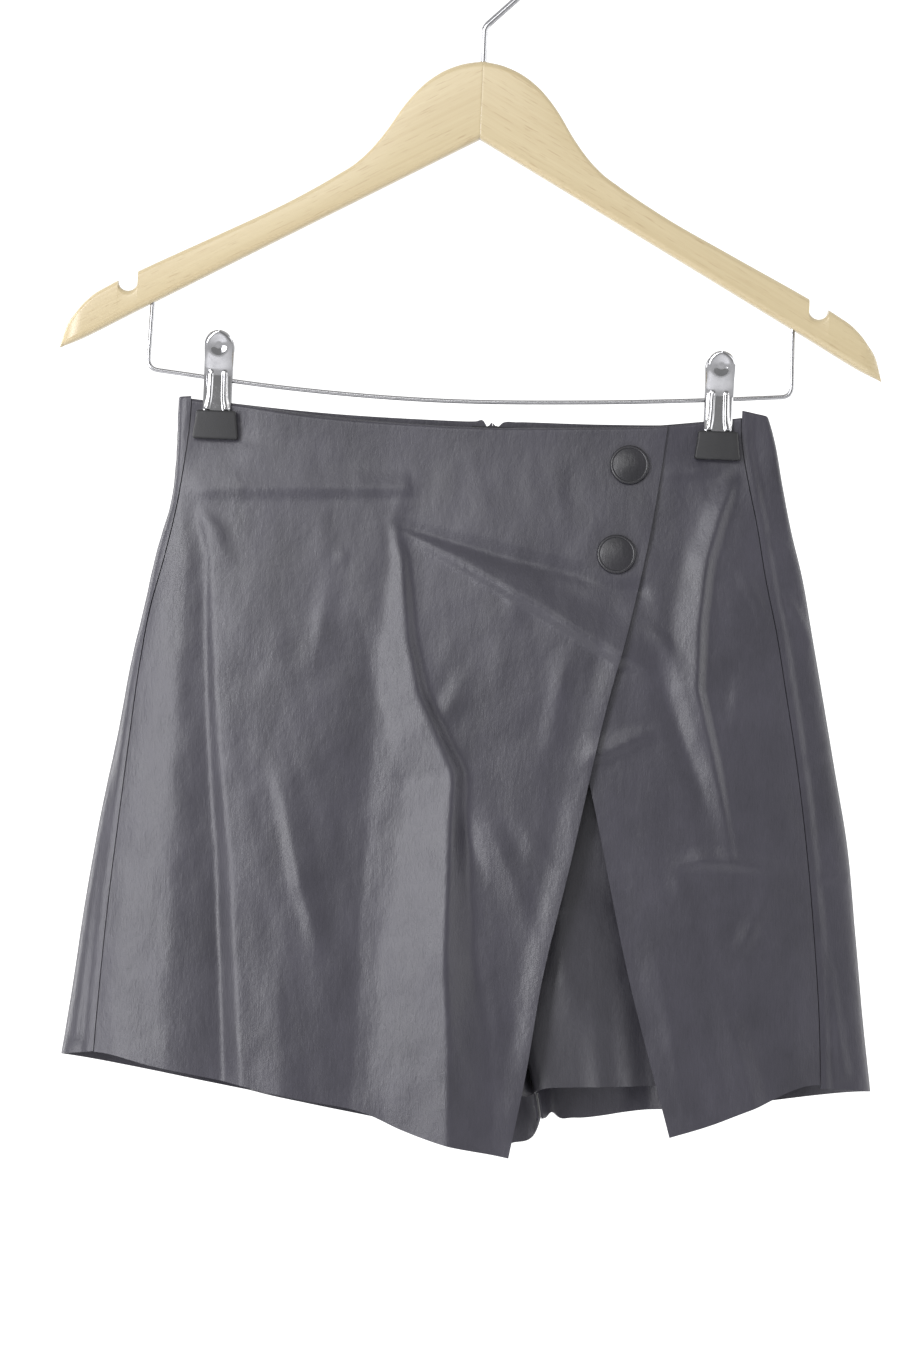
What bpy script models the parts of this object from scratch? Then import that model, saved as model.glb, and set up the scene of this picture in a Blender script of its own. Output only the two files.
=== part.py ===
"""A faux-leather skort (shorts under a wrap-skirt front) that hangs by two clips from a wooden hanger.

The origin is where a rod carries the hook, +Z is up and the front faces -Y. Sizes here are in
millimetres and go to metres when a mesh is made. All the cloth hangs round one core: a hollow,
flattened tube whose outline is read from SECTIONS. Each panel is a wall at its own level outside
that core, so that what lies on a panel is the same surface, moved out.
"""

import math
from collections import namedtuple

import bpy
import bmesh
import numpy as np
from mathutils import Matrix, Vector

MM = 0.001
GAP = 0.3  # left between pieces that are sewn together or touch

# ---------------------------------------------------------------- the garment's driving sizes
WALL = 1.1  # coated cloth with its backing
BLUNT = 2.6  # how square the flattened tube is: 2 is an ellipse
CORE_INSET = 1.3  # the core lies this far inside the silhouette

# The hanging tube: silhouettes and side seams as seen from the front, and the core's two depths.
Section = namedtuple("Section", "z left left_seam right_seam right front_depth back_depth")
SECTIONS = (
    Section(-246, -157.8, -150.4, 145.0, 157.0, 2.8, 3.4),
    Section(-262, -157.6, -150.6, 145.3, 162.7, 3.0, 3.6),
    Section(-290, -156.8, -152.6, 150.3, 169.1, 4.0, 6.0),
    Section(-312, -158.4, -155.0, 155.4, 174.2, 5.5, 9.0),
    Section(-340, -165.5, -160.4, 161.0, 182.0, 7.5, 13.0),
    Section(-370, -170.6, -167.0, 168.2, 188.4, 9.5, 17.0),
    Section(-400, -177.0, -171.4, 174.1, 194.8, 11.0, 19.5),
    Section(-440, -183.4, -175.4, 181.8, 203.2, 12.0, 21.0),
    Section(-480, -190.2, -179.0, 188.2, 211.6, 12.5, 21.5),
    Section(-530, -197.0, -183.2, 194.6, 218.4, 13.0, 21.5),
    Section(-580, -202.4, -186.2, 199.6, 224.9, 13.5, 21.0),
    Section(-615, -206.8, -187.8, 201.5, 230.2, 14.0, 21.0),
    Section(-660, -212.6, -189.4, 203.4, 237.0, 14.0, 21.0),
)

WAIST_Z = -262.0  # about where the panels begin, in the middle
FRONT_HEM_Z = -610.0  # about where the shorts' fronts end
BACK_HEM_Z = -640.0
BACK_REACH_TOP = 150.0  # from the middle to about the silhouette, at the waist and the hem
BACK_REACH_HEM = 206.0

# Edges as the front shows them, each a short list of (x, z).
FRONT_TOP = ((-152, -256.5), (-126, -258.5), (-92, -262.5), (-45, -265), (15, -265.5),
             (60, -263.5), (105, -260.5), (123, -257.7), (146, -254))
BACK_TOP = ((-158, -254), (-126, -257), (-72, -261), (-38, -261.8), (70, -260.6),
            (105, -258.6), (142, -252), (164, -247))
OVER_EDGE = ((105.2, -260.5), (100, -307), (89, -368), (79, -410), (62, -499),
             (50, -559), (43.5, -609), (36, -654))
OVER_HEM = ((-186.6, -608.5), (-156, -614), (-119, -620), (-74, -628), (-41, -633.5),
            (-22, -641), (-4, -646.5), (36, -654))
UNDER_EDGE = ((19, -265.5), (73, -462), (97, -560), (121, -640))
UNDER_HEM = ((121, -640), (142, -633), (164, -624), (199.5, -610))
SHORTS_HEM = ((-188, -607), (-60, -614), (42, -622), (60, -620), (84, -617), (112, -615), (202, -606))
BACK_HEM = ((-207, -608), (-187, -611), (-41, -638), (20, -649), (36, -652), (43, -648), (48, -637),
            (56, -635.4), (65, -633.8), (68, -636.4), (74, -636.2), (84, -634.1), (90, -632.3),
            (117, -628.5), (200, -612), (231, -613))

# The centre line, which runs down to the gap between the legs.
Centre = namedtuple("Centre", "z x leg_gap")
CENTRE_LINE = (Centre(-246, 11, 0), Centre(-400, 17, 0), Centre(-500, 25, 0), Centre(-534, 29, 0),
               Centre(-570, 36, 0.5), Centre(-600, 43.5, 0.8), Centre(-621, 50, 0.9), Centre(-660, 56, 1))
CROTCH_Z = -534.0
CROTCH_RISE = 42.0  # the seat seams leave the front and back this far above the crotch
INNER_LEG_RADIUS = 16.0
INNER_LEG_BLUNT = 3.6  # how square the inner leg is: 2 is a quarter round
CORNER_LEAN = 2.5  # the blunt corner turns in this much sooner than a round one
LEG_SLANT = 4.0  # the gap between the legs lies this far left at the front and right at the back

# How far the skirt panels hang clear of the shorts' fronts, halfway between the side seams.
Hang = namedtuple("Hang", "z clearance")
HANG = (Hang(-246, 0), Hang(-275, 0.6), Hang(-330, 3.0), Hang(-420, 6.5), Hang(-520, 9.0),
        Hang(-660, 11.5))

# Folds: soft ridges (height above 0) or troughs (below 0) along a line seen from the front.
Fold = namedtuple("Fold", "x0 z0 x1 z1 width height")
FRONT_FOLDS = (
    Fold(-146, -305, -31, -300, 5, 1.0),  # pressed line across the hip
    Fold(-37, -320, 92, -350, 9, 2.6),  # drag line towards the lower button
    Fold(-37, -324, 78, -385, 10, -1.2),  # the hollow under it
    Fold(-41, -318, -29, -381, 6, 2.4),  # break below the drag line
    Fold(-29, -381, -2, -455, 7, 2.6),
    Fold(-44, -345, -40, -400, 16, 2.4),  # broad fall of the panel down to the step in the hem
    Fold(-36, -430, -27, -628, 20, 5.0),
    Fold(-141, -343, -128, -470, 10, 2.6),  # long fall near the left side
    Fold(-128, -480, -118, -625, 13, 4.0),
    Fold(-100, -440, -68, -551, 8, -1.8),
    Fold(-78, -520, -72, -632, 18, -3.4),
    Fold(2, -465, 17, -510, 6, -1.8),
    Fold(24, -500, 14, -640, 12, -2.2),
    Fold(124, -305, 122, -401, 11, 2.6),  # fall from the right clip
    Fold(103, -376, 146, -486, 7, 1.8),
    Fold(123, -401, 148, -489, 7, 2.0),
    Fold(78, -438, 105, -425, 5, 1.6),  # catch of the under panel at the top of the gap
    Fold(117, -496, 177, -494, 6, 1.8),
    Fold(172, -501, 143, -558, 8, 2.2),
    Fold(150, -560, 142, -628, 12, 2.0),
)
SHORTS_FOLDS = (
    Fold(58, -500, 66, -575, 12, 2.0),
    Fold(92, -520, 110, -600, 11, -2.0),
    Fold(-100, -480, -96, -600, 20, 2.4),
)
BACK_FOLDS = (
    Fold(-128, -290, -70, -350, 12, 1.8),  # drag from the clips to the seat
    Fold(124, -290, 72, -356, 12, 2.0),
    Fold(-112, -370, -124, -600, 18, 4.0),
    Fold(-46, -400, -40, -620, 22, 3.4),
    Fold(-80, -430, -86, -615, 12, -2.4),
    Fold(96, -390, 104, -560, 18, 3.6),
    Fold(150, -410, 168, -600, 16, 3.4),
    Fold(128, -450, 138, -610, 12, -2.2),
)

Button = namedtuple("Button", "name x z")
BUTTONS = (Button("button_upper", 85.7, -282.5), Button("button_lower", 80.4, -330.8))
BUTTON_RADIUS = 10.5
BUTTON_HEIGHT = 3.0
BUTTON_DOME = 0.9

ZIP_BOTTOM_Z = -440.0
ZIP_TAPE_WIDTH = 22.0
ZIP_TAPE_THICKNESS = 1.0
SLIDER = (5.6, 1.8, 9.0)  # width, thickness and height of its plate
SLIDER_Z = -268.0
PULL_PIVOT_RISE = 2.4  # from the slider's plate to the pull's axis
PULL_LENGTH = 22.0
PULL_WIDTH = 7.0
PULL_THICKNESS = 1.2

# ---------------------------------------------------------------- the hanger's driving sizes
Clip = namedtuple("Clip", "side x")
CLIPS = (Clip("left", -136.8), Clip("right", 132.6))
JAW_Z = -270.0
PINCH_REACH = 24.0  # the clips press the waist flat within about this distance
PINCH_SHARE = 0.88

ARM_THICKNESS = 12.0
ARM_SQUARENESS = 3.6
MITRE_X = -1.6
ARM_SPAN = 221.0  # from the mitre to each tip
ARM_LOWER = ((0, -110.3), (60, -143.5), (120, -176.6), (180, -209.8), (212, -227.4), (221, -231.6))
ARM_UPPER = ((0, -68.6), (12, -71), (22, -75.4), (33, -84), (42, -95), (50, -107.5), (58, -118),
             (66, -126), (76, -133), (97, -146), (139, -168), (177, -187.3), (179.5, -189.2),
             (180.6, -197.2), (185.6, -199.6), (190, -197.4), (191.6, -195.8), (196, -197.4),
             (205, -203.4), (213, -212.4), (218.5, -222), (221, -231.4))

HOOK_WIRE = 3.6
HOOK_RADIUS = 21.0  # of the wire's centre line
HOOK_LEAN = math.radians(44)  # the wire leaves the shank at this angle
HOOK_SWEEP = math.radians(250)
SHANK_BOTTOM_Z = -92.0
SHANK_BEND = 7.0

BAR_WIRE = 2.4
BAR_DEPTH_IN_WOOD = 7.0
BAR_CORNER = 6.0
BAR_ROUTE = ((-173.6, -206), (-175, -241), (-100, -248.2), (-22, -251.5), (60, -249.3),
             (122, -245.6), (171.8, -241.6), (170.6, -206))


# ---------------------------------------------------------------- reading the tables
def through(knots, values, at):
    """Smooth curve through a row of values: a cubic between each two, flat beyond the ends."""
    knots = np.asarray(knots, float)
    values = np.asarray(values, float)
    slopes = np.gradient(values, knots)
    at = np.clip(at, knots[0], knots[-1])
    i = np.clip(np.searchsorted(knots, at, side="right") - 1, 0, len(knots) - 2)
    span = knots[i + 1] - knots[i]
    t = (at - knots[i]) / span
    return ((2 * t**3 - 3 * t**2 + 1) * values[i] + (t**3 - 2 * t**2 + t) * span * slopes[i]
            + (3 * t**2 - 2 * t**3) * values[i + 1] + (t**3 - t**2) * span * slopes[i + 1])


def at_height(rows, column, z):
    """One column of a table whose rows run downwards, read at the heights z."""
    return through([-row.z for row in rows], [getattr(row, column) for row in rows], -z)


def height_over(points, x):
    """The height of an edge, given as (x, z) points from left to right, at the places x."""
    return through([p[0] for p in points], [p[1] for p in points], x)


def along(points):
    """An edge as a function of the share of its length, from 0 to 1, giving x and z."""
    points = np.asarray(points, float)
    walked = np.concatenate([[0], np.cumsum(np.hypot(*np.diff(points, axis=0).T))])
    share = walked / walked[-1]
    return lambda t: np.stack([through(share, points[:, 0], t), through(share, points[:, 1], t)])


def smoothstep(low, high, value):
    t = np.clip((value - low) / (high - low), 0, 1)
    return t * t * (3 - 2 * t)


# ---------------------------------------------------------------- the core that the cloth hangs round
def middle_and_reach(z):
    """The core's centre and half width at the heights z."""
    left = at_height(SECTIONS, "left", z) + CORE_INSET
    right = at_height(SECTIONS, "right", z) - CORE_INSET
    return (left + right) / 2, (right - left) / 2


def fullness(x, z):
    """A superellipse's height over its width: 1 in the middle and 0 at the silhouettes."""
    middle, reach = middle_and_reach(z)
    return np.clip(1 - np.abs((x - middle) / reach) ** BLUNT, 0, 1) ** (1 / BLUNT)


def pressed(x, z):
    """How far the clips press the tube flat, from 0 to PINCH_SHARE."""
    near = [np.exp(-(((x - c.x) ** 2 + (z - JAW_Z) ** 2) / PINCH_REACH**2) ** 1.5) for c in CLIPS]
    return PINCH_SHARE * np.clip(sum(near), 0, 1)


def core_depth(x, z, column):
    return at_height(SECTIONS, column, z) * fullness(x, z) * (1 - pressed(x, z))


def relief(folds, x, z):
    """The sum of the folds: each a bell across its line that dies out past its ends."""
    total = np.zeros_like(x)
    for f in folds:
        run = np.array([f.x1 - f.x0, f.z1 - f.z0])
        t = np.clip(((x - f.x0) * run[0] + (z - f.z0) * run[1]) / (run @ run), 0, 1)
        away = np.hypot(x - f.x0 - t * run[0], z - f.z0 - t * run[1])
        total += f.height * np.exp(-((away / f.width) ** 2))
    return total


def centre_x(z):
    return at_height(CENTRE_LINE, "x", z)


def leg_share(z):
    """0 where the body is one tube, 1 where it is two legs."""
    return smoothstep(CROTCH_Z + CROTCH_RISE, CROTCH_Z, z)


# ---------------------------------------------------------------- the levels of the panels
def clearance(x, z):
    """How far the skirt panels hang in front of the shorts' fronts, besides GAP."""
    left, right = at_height(SECTIONS, "left_seam", z), at_height(SECTIONS, "right_seam", z)
    across = np.clip(2 * (x - left) / (right - left) - 1, -1, 1)
    return at_height(HANG, "clearance", z) * (1 - across**4)


def calm(x, z):
    """1 on the free cloth and 0 at the side seams and under the buttons, where it is held flat."""
    left, right = at_height(SECTIONS, "left_seam", z), at_height(SECTIONS, "right_seam", z)
    held = smoothstep(0, 16, x - left) * smoothstep(0, 16, right - x)
    held = held * smoothstep(JAW_Z - 4, JAW_Z - 30, z)
    for b in BUTTONS:
        held = held * smoothstep(1.5 * BUTTON_RADIUS, 3 * BUTTON_RADIUS, np.hypot(x - b.x, z - b.z))
    return held


def front_relief(x, z):
    """The skirt panels' folds, never deeper than the room behind them."""
    return np.maximum(relief(FRONT_FOLDS, x, z) * calm(x, z), -0.8 * clearance(x, z))


def under_level(x, y, z):
    return WALL + GAP + clearance(x, z) + front_relief(x, z)


def over_level(x, y, z):
    """Right above the under panel where there is one, and down on the shorts' front elsewhere."""
    edge = through([-p[1] for p in UNDER_EDGE], [p[0] for p in UNDER_EDGE], -z)
    lies_on_it = smoothstep(edge - 75, edge - 12, x)
    return under_level(x, y, z) + (WALL + GAP + layer_ease(x, z)) * lies_on_it


def layer_ease(x, z):
    """Loose layers part a little more below the waist, where nothing presses them together."""
    return 1.4 * smoothstep(-268, -320, z)


def shorts_level(x, y, z):
    return relief(SHORTS_FOLDS, x, z)


# ---------------------------------------------------------------- making meshes and materials
def material(name, colour, roughness, metallic=0.0):
    made = bpy.data.materials.new(name)
    made.use_nodes = True
    shader = made.node_tree.nodes["Principled BSDF"]
    shader.inputs["Base Color"].default_value = (*colour, 1)
    shader.inputs["Roughness"].default_value = roughness
    shader.inputs["Metallic"].default_value = metallic
    made.diffuse_color = (*colour, 1)
    return made


def add_mesh(name, points, faces, finish, smooth_angle=40):
    """A new object from points in millimetres and faces."""
    mesh = bpy.data.meshes.new(name)
    mesh.from_pydata((np.asarray(points) * MM).tolist(), [], faces)
    mesh.shade_smooth()
    mesh.set_sharp_from_angle(angle=math.radians(smooth_angle))
    made = bpy.data.objects.new(name, mesh)
    mesh.materials.append(finish)
    bpy.context.collection.objects.link(made)
    made.parent = hanging
    return made


def evenly(count):
    return np.linspace(0, 1, count)


def grid_faces(rows, columns, first=0):
    """The quads of a grid whose points run along the columns, then down the rows."""
    i, j = np.meshgrid(np.arange(rows - 1), np.arange(columns - 1), indexing="ij")
    corner = first + i.ravel() * columns + j.ravel()
    return np.stack([corner, corner + columns, corner + columns + 1, corner + 1], axis=1)


def add_wall(name, place, level, across_at, down_at, towards, finish, wall=WALL):
    """A closed wall. place(u, v) gives the core's points, and level(x, y, z) how far outside them
    the wall's inner side lies. across_at and down_at are the shares u and v of its grid lines.
    towards is -1 for a wall seen from the front, 1 from the back."""
    u, v = np.meshgrid(across_at, down_at)
    rows, columns = u.shape
    step = 1e-3
    across = place(np.minimum(u + step, 1), v) - place(np.maximum(u - step, 0), v)
    down = place(u, np.minimum(v + step, 1)) - place(u, np.maximum(v - step, 0))
    out = np.cross(across, down, axis=0)
    out /= np.linalg.norm(out, axis=0)
    flip = np.sign(towards * out[1, rows // 2, columns // 2])
    out *= flip
    core = place(u, v)
    lift = level(*core)
    inner = (core + lift * out).reshape(3, -1).T
    outer = (core + (lift + wall) * out).reshape(3, -1).T
    size = rows * columns
    faces = grid_faces(rows, columns)
    rim = np.concatenate([np.arange(columns), columns * np.arange(2, rows + 1) - 1,
                          np.arange(size - 2, size - columns - 1, -1),
                          columns * np.arange(rows - 2, 0, -1)])
    ahead = np.roll(rim, -1)
    sides = np.stack([rim, ahead, ahead + size, rim + size], axis=1)
    shell = np.concatenate([faces, faces[:, ::-1] + size, sides])
    if flip < 0:
        shell = shell[:, ::-1]
    return add_mesh(name, np.concatenate([outer, inner]), shell[:, ::-1].tolist(), finish)


# ---------------------------------------------------------------- where each panel lies
def on_front(x, z):
    return np.stack([x, -core_depth(x, z, "front_depth"), z])


def patch(left, right, top, bottom):
    """A panel between four edges, each a function of a share from 0 to 1 (a Coons patch)."""
    def place(u, v):
        ruled = (1 - u) * left(v) + u * right(v) + (1 - v) * top(u) + v * bottom(u)
        corners = ((1 - u) * (1 - v) * left(np.zeros_like(v)) + (1 - u) * v * left(np.ones_like(v))
                   + u * (1 - v) * right(np.zeros_like(v)) + u * v * right(np.ones_like(v)))
        x, z = ruled - corners
        return on_front(x, z)
    return place


def seam_edge(column, shift, top, bottom):
    """A side seam as an edge, from the height top to the height bottom."""
    def edge(v):
        z = top + (bottom - top) * v
        return np.stack([at_height(SECTIONS, column, z) + shift, z])
    return edge


def part_of(points, start, end):
    """The stretch of an edge between two places in x, as an edge of its own."""
    inside = [p for p in points if start < p[0] < end]
    first = (start, float(height_over(points, start)))
    last = (end, float(height_over(points, end)))
    return along([first, *inside, last])


def leg_curve(side, facing, k, z, share):
    """x and depth share round the inner leg: straight to the centre seam on the body, and a blunt
    quarter round on the leg. k runs from 0 on the panel to 1 on the seam, and facing is -1 for the
    front and 1 for the back."""
    turn = math.pi / 2
    depth = at_height(SECTIONS, "back_depth", z)
    lean = np.arctan2(CORNER_LEAN * share * turn * depth, INNER_LEG_RADIUS * (1 - share))
    gap = GAP / 2 + WALL * np.sin(lean) + np.maximum(at_height(CENTRE_LINE, "leg_gap", z), 0) / 2
    start = centre_x(z) + side * (gap + INNER_LEG_RADIUS)
    power = 2 / (2 + (INNER_LEG_BLUNT - 2) * share)
    run = (1 - share) * k + share * np.sin(turn * k) ** power
    depth_share = (1 - share) + share * np.abs(np.cos(turn * k)) ** power
    slant = facing * LEG_SLANT * share * depth_share
    return start + slant - side * INNER_LEG_RADIUS * run, depth_share


def shorts_place(side):
    """The shorts' front of one side (-1 left, 1 right): from the side seam to the centre seam and,
    on the leg, round to the inseam."""
    column = "left_seam" if side < 0 else "right_seam"
    tuck = side * 0.8  # the seam allowance runs on behind the side seam
    flat = 0.74  # share of the columns before the inner leg begins

    def place(u, v):
        top_x = at_height(SECTIONS, column, WAIST_Z) * (1 - u) + centre_x(WAIST_Z) * u
        hem_x = at_height(SECTIONS, column, FRONT_HEM_Z) * (1 - u) + centre_x(FRONT_HEM_Z) * u
        top = height_over(FRONT_TOP, top_x)
        z = top + (height_over(SHORTS_HEM, hem_x) - top) * v
        share = leg_share(z)
        k = np.clip((u - flat) / (1 - flat), 0, 1)
        inner_x, depth_share = leg_curve(side, -1, k, z, share)
        start_x = at_height(SECTIONS, column, z) + tuck
        panel_end = leg_curve(side, -1, 0 * k, z, share)[0]
        x = np.where(u < flat, start_x + (panel_end - start_x) * u / flat, inner_x)
        y = -core_depth(x, z, "front_depth") * depth_share - GAP / 2 * share
        return np.stack([x, y, z])
    return place


# Grid lines across a back panel: close together round the fold at the side, then even.
SIDE_FINE = np.concatenate([[0, 0.010, 0.024, 0.045, 0.075], np.linspace(0.12, 1, 13)])


def leg_rows(top, hem):
    """Grid lines down a panel with legs, closer together where it turns in at the crotch."""
    band = (CROTCH_Z + CROTCH_RISE - top) / (hem - top), (CROTCH_Z - 4 - top) / (hem - top)
    return np.concatenate([np.linspace(0, band[0], 11), np.linspace(*band, 7)[1:],
                           np.linspace(band[1], 1, 6)[1:]])


def back_place(side):
    """A back panel: from the side seam on the front, round the silhouette and across the back to
    the centre seam and, on the leg, round to the inseam."""
    column = "left_seam" if side < 0 else "right_seam"
    flat = 0.80
    hem_turn = centre_x(BACK_HEM_Z) + side * (INNER_LEG_RADIUS + WALL) + LEG_SLANT
    turns = np.linspace(0, math.pi, 200)  # a quarter round beyond the middle is enough
    steps = np.hypot(np.diff(200 * np.sign(np.cos(turns)) * np.abs(np.cos(turns)) ** (2 / BLUNT)),
                     np.diff(16 * np.sin(turns) ** (2 / BLUNT)))
    walked = np.concatenate([[0], np.cumsum(steps)])

    def turn_at(x, z):
        """The angle round the loop, from the silhouette, of a place x on it."""
        middle, reach = middle_and_reach(z)
        q = np.clip(side * (x - middle) / reach, -1, 1)
        return np.arccos(np.sign(q) * np.abs(q) ** (BLUNT / 2))

    def signed_walk(turn):
        return np.sign(turn) * np.interp(np.abs(turn), turns, walked)

    def place(u, v):
        top_x = side * BACK_REACH_TOP * (1 - u) + centre_x(WAIST_Z) * u
        hem_x = np.interp(u, [0, flat, 1], [side * BACK_REACH_HEM, hem_turn, centre_x(BACK_HEM_Z)])
        top = height_over(BACK_TOP, top_x)
        z = top + (height_over(BACK_HEM, hem_x) - top) * v
        share = leg_share(z)
        k = np.clip((u - flat) / (1 - flat), 0, 1)
        inner_x, depth_share = leg_curve(side, 1, k, z, share)
        seam_turn = -turn_at(at_height(SECTIONS, column, z) + side * GAP, z)
        inner_turn = turn_at(leg_curve(side, 1, 0 * k, z, share)[0], z)
        start, end = signed_walk(seam_turn), signed_walk(inner_turn)
        here = start + (end - start) * np.clip(u / flat, 0, 1)
        turn = np.sign(here) * np.interp(np.abs(here), walked, turns)
        middle, reach = middle_and_reach(z)
        loop_x = middle + side * reach * np.sign(np.cos(turn)) * np.abs(np.cos(turn)) ** (2 / BLUNT)
        x = np.where(u < flat, loop_x, inner_x)
        on_back = u >= flat
        depth = np.where(turn < 0, at_height(SECTIONS, "front_depth", z),
                         at_height(SECTIONS, "back_depth", z))
        loop_y = depth * np.sign(turn) * np.abs(np.sin(turn)) ** (2 / BLUNT) * (1 - pressed(x, z))
        inner_y = core_depth(x, z, "back_depth") * depth_share + GAP / 2 * share
        return np.stack([x, np.where(on_back, inner_y, loop_y), z])
    return place


def back_level(side):
    """The back's folds, and the rise that brings its edge level with the skirt panel at the seam."""
    column = "left_seam" if side < 0 else "right_seam"

    def level(x, y, z):
        seam_x = at_height(SECTIONS, column, z)
        from_seam = np.hypot(x - seam_x, y + core_depth(seam_x, z, "front_depth"))
        rise = (WALL + GAP) * smoothstep(8, 2.5, from_seam) * smoothstep(1.5, -0.5, y)
        folds = relief(BACK_FOLDS, x, z) * smoothstep(0, 6, y) * smoothstep(JAW_Z, JAW_Z - 30, z)
        return rise + np.maximum(folds, -2.6)
    return level


# ---------------------------------------------------------------- small hard pieces
def add_from_bmesh(name, shape, finish, bevel=0.0, smooth_angle=40):
    """A new object from a bmesh in millimetres, with its edges rounded by bevel."""
    bmesh.ops.recalc_face_normals(shape, faces=shape.faces)
    bmesh.ops.scale(shape, vec=(MM, MM, MM), verts=shape.verts)
    mesh = bpy.data.meshes.new(name)
    shape.to_mesh(mesh)
    shape.free()
    mesh.shade_smooth()
    mesh.set_sharp_from_angle(angle=math.radians(smooth_angle))
    made = bpy.data.objects.new(name, mesh)
    mesh.materials.append(finish)
    bpy.context.collection.objects.link(made)
    made.parent = hanging
    if bevel:
        rounding = made.modifiers.new("rounding", "BEVEL")
        rounding.width = bevel * MM
        rounding.segments = 2
        rounding.limit_method = "ANGLE"
    return made


def box(low, high):
    shape = bmesh.new()
    bmesh.ops.create_cube(shape, size=1)
    middle = (Vector(low) + Vector(high)) / 2
    bmesh.ops.scale(shape, vec=Vector(high) - Vector(low), verts=shape.verts)
    bmesh.ops.translate(shape, vec=middle, verts=shape.verts)
    return shape


def turned(profile, sides, frame=None):
    """A profile of (radius, height) spun about the third axis of frame and closed at its ends."""
    shape = bmesh.new()
    rings = []
    for radius, height in profile:
        angles = [2 * math.pi * i / sides for i in range(sides)]
        rings.append([shape.verts.new((radius * math.cos(a), radius * math.sin(a), height))
                      for a in angles])
    for low, high in zip(rings, rings[1:]):
        for i in range(sides):
            shape.faces.new((low[i], low[i - 1], high[i - 1], high[i]))
    shape.faces.new(rings[0])
    shape.faces.new(rings[-1])
    if frame is not None:
        bmesh.ops.transform(shape, matrix=frame, verts=shape.verts)
    return shape


def change(target, other, operation):
    """A Boolean with a helper object that isn't part of the model itself."""
    other.hide_render = True
    other.display_type = "WIRE"
    step = target.modifiers.new(operation.lower(), "BOOLEAN")
    step.operation = operation
    step.solver = "EXACT"
    step.object = other


def add_wire(name, points, thickness, finish):
    """A round wire along points given as (x, y, z)."""
    curve = bpy.data.curves.new(name, "CURVE")
    curve.dimensions = "3D"
    curve.bevel_depth = thickness / 2 * MM
    curve.bevel_resolution = 2
    curve.use_fill_caps = True
    line = curve.splines.new("POLY")
    line.points.add(len(points) - 1)
    for point, (x, y, z) in zip(line.points, points):
        point.co = (x * MM, y * MM, z * MM, 1)
    curve.materials.append(finish)
    made = bpy.data.objects.new(name, curve)
    bpy.context.collection.objects.link(made)
    made.parent = hanging
    return made


# ---------------------------------------------------------------- the hanger
def add_arm(name, side, finish):
    """Half of the wooden hanger: rounded sections from the mitre to the tip."""
    distances = np.array([d for d, _ in ARM_UPPER])
    distances[0] = GAP / 2
    upper = np.array([z for _, z in ARM_UPPER])
    lower = height_over(ARM_LOWER, distances)
    to_tip = np.clip((distances - ARM_SPAN + ARM_THICKNESS) / ARM_THICKNESS, 0, 1)
    half_thickness = ARM_THICKNESS / 2 * np.sqrt(1.06 - to_tip**2)
    sides = 12
    turn = 2 * math.pi * (np.arange(sides) + 0.5) / sides
    y = np.sign(np.cos(turn)) * np.abs(np.cos(turn)) ** (2 / ARM_SQUARENESS)
    z = np.sign(np.sin(turn)) * np.abs(np.sin(turn)) ** (2 / ARM_SQUARENESS)
    rings = np.stack([
        np.repeat(MITRE_X + side * distances, sides),
        (half_thickness[:, None] * y).ravel(),
        ((upper + lower)[:, None] / 2 + (upper - lower)[:, None] / 2 * z).ravel(),
    ], axis=1)
    around = np.arange(sides)
    faces = []
    for i in range(len(distances) - 1):
        a = i * sides + around
        b = i * sides + np.roll(around, -1)
        faces += np.stack([a, b, b + sides, a + sides], axis=1).tolist()
    faces.append(around[::-1].tolist())
    faces.append(((len(distances) - 1) * sides + around).tolist())
    if side < 0:
        faces = [face[::-1] for face in faces]
    return add_mesh(name, rings, faces, finish)


def hook_points():
    """Shank, short bend, lean and round: the wire's centre line. The rod sits at the origin."""
    turn = np.linspace(math.pi, math.pi / 2 + HOOK_LEAN, 6)
    bend = np.stack([MITRE_X + SHANK_BEND + SHANK_BEND * np.cos(turn), SHANK_BEND * np.sin(turn)], 1)
    top = HOOK_WIRE / 2
    start = HOOK_LEAN - math.pi / 2
    sweep = start + np.linspace(0, HOOK_SWEEP, 26)
    centre_z = top - HOOK_RADIUS
    round_part = np.stack([HOOK_RADIUS * np.cos(sweep), centre_z + HOOK_RADIUS * np.sin(sweep)], 1)
    run = (round_part[0, 0] - bend[-1, 0]) * math.tan(HOOK_LEAN)
    bend[:, 1] += round_part[0, 1] - run - bend[-1, 1]
    flat = np.concatenate([[(MITRE_X, SHANK_BOTTOM_Z)], bend, round_part])
    return [(x, 0, z) for x, z in flat]


def corner(before, at, after):
    """A round corner: a quadratic curve that leaves each line BAR_CORNER from the corner."""
    before, at, after = np.array(before), np.array(at), np.array(after)
    start = at + BAR_CORNER * (before - at) / np.linalg.norm(before - at)
    end = at + BAR_CORNER * (after - at) / np.linalg.norm(after - at)
    t = np.linspace(0, 1, 6)[:, None]
    return (1 - t) ** 2 * start + 2 * t * (1 - t) * at + t**2 * end


BAR_FIRST = corner(*BAR_ROUTE[:3])
BAR_LAST = corner(*BAR_ROUTE[-3:])
BAR_RUN = (tuple(BAR_FIRST[-1]), *BAR_ROUTE[2:-2], tuple(BAR_LAST[0]))


def bar_points():
    """The wire bar: up into each arm's underside, round corners and a slight sag between."""
    x = np.linspace(BAR_RUN[0][0], BAR_RUN[-1][0], 14)[1:-1]
    sag = np.stack([x, height_over(BAR_RUN, x)], 1)
    ends = np.array([BAR_ROUTE[0], BAR_ROUTE[-1]]) + (0, BAR_DEPTH_IN_WOOD)
    flat = np.concatenate([ends[:1], BAR_FIRST, sag, BAR_LAST, ends[1:]])
    return [(x, 0, z) for x, z in flat]


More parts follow.
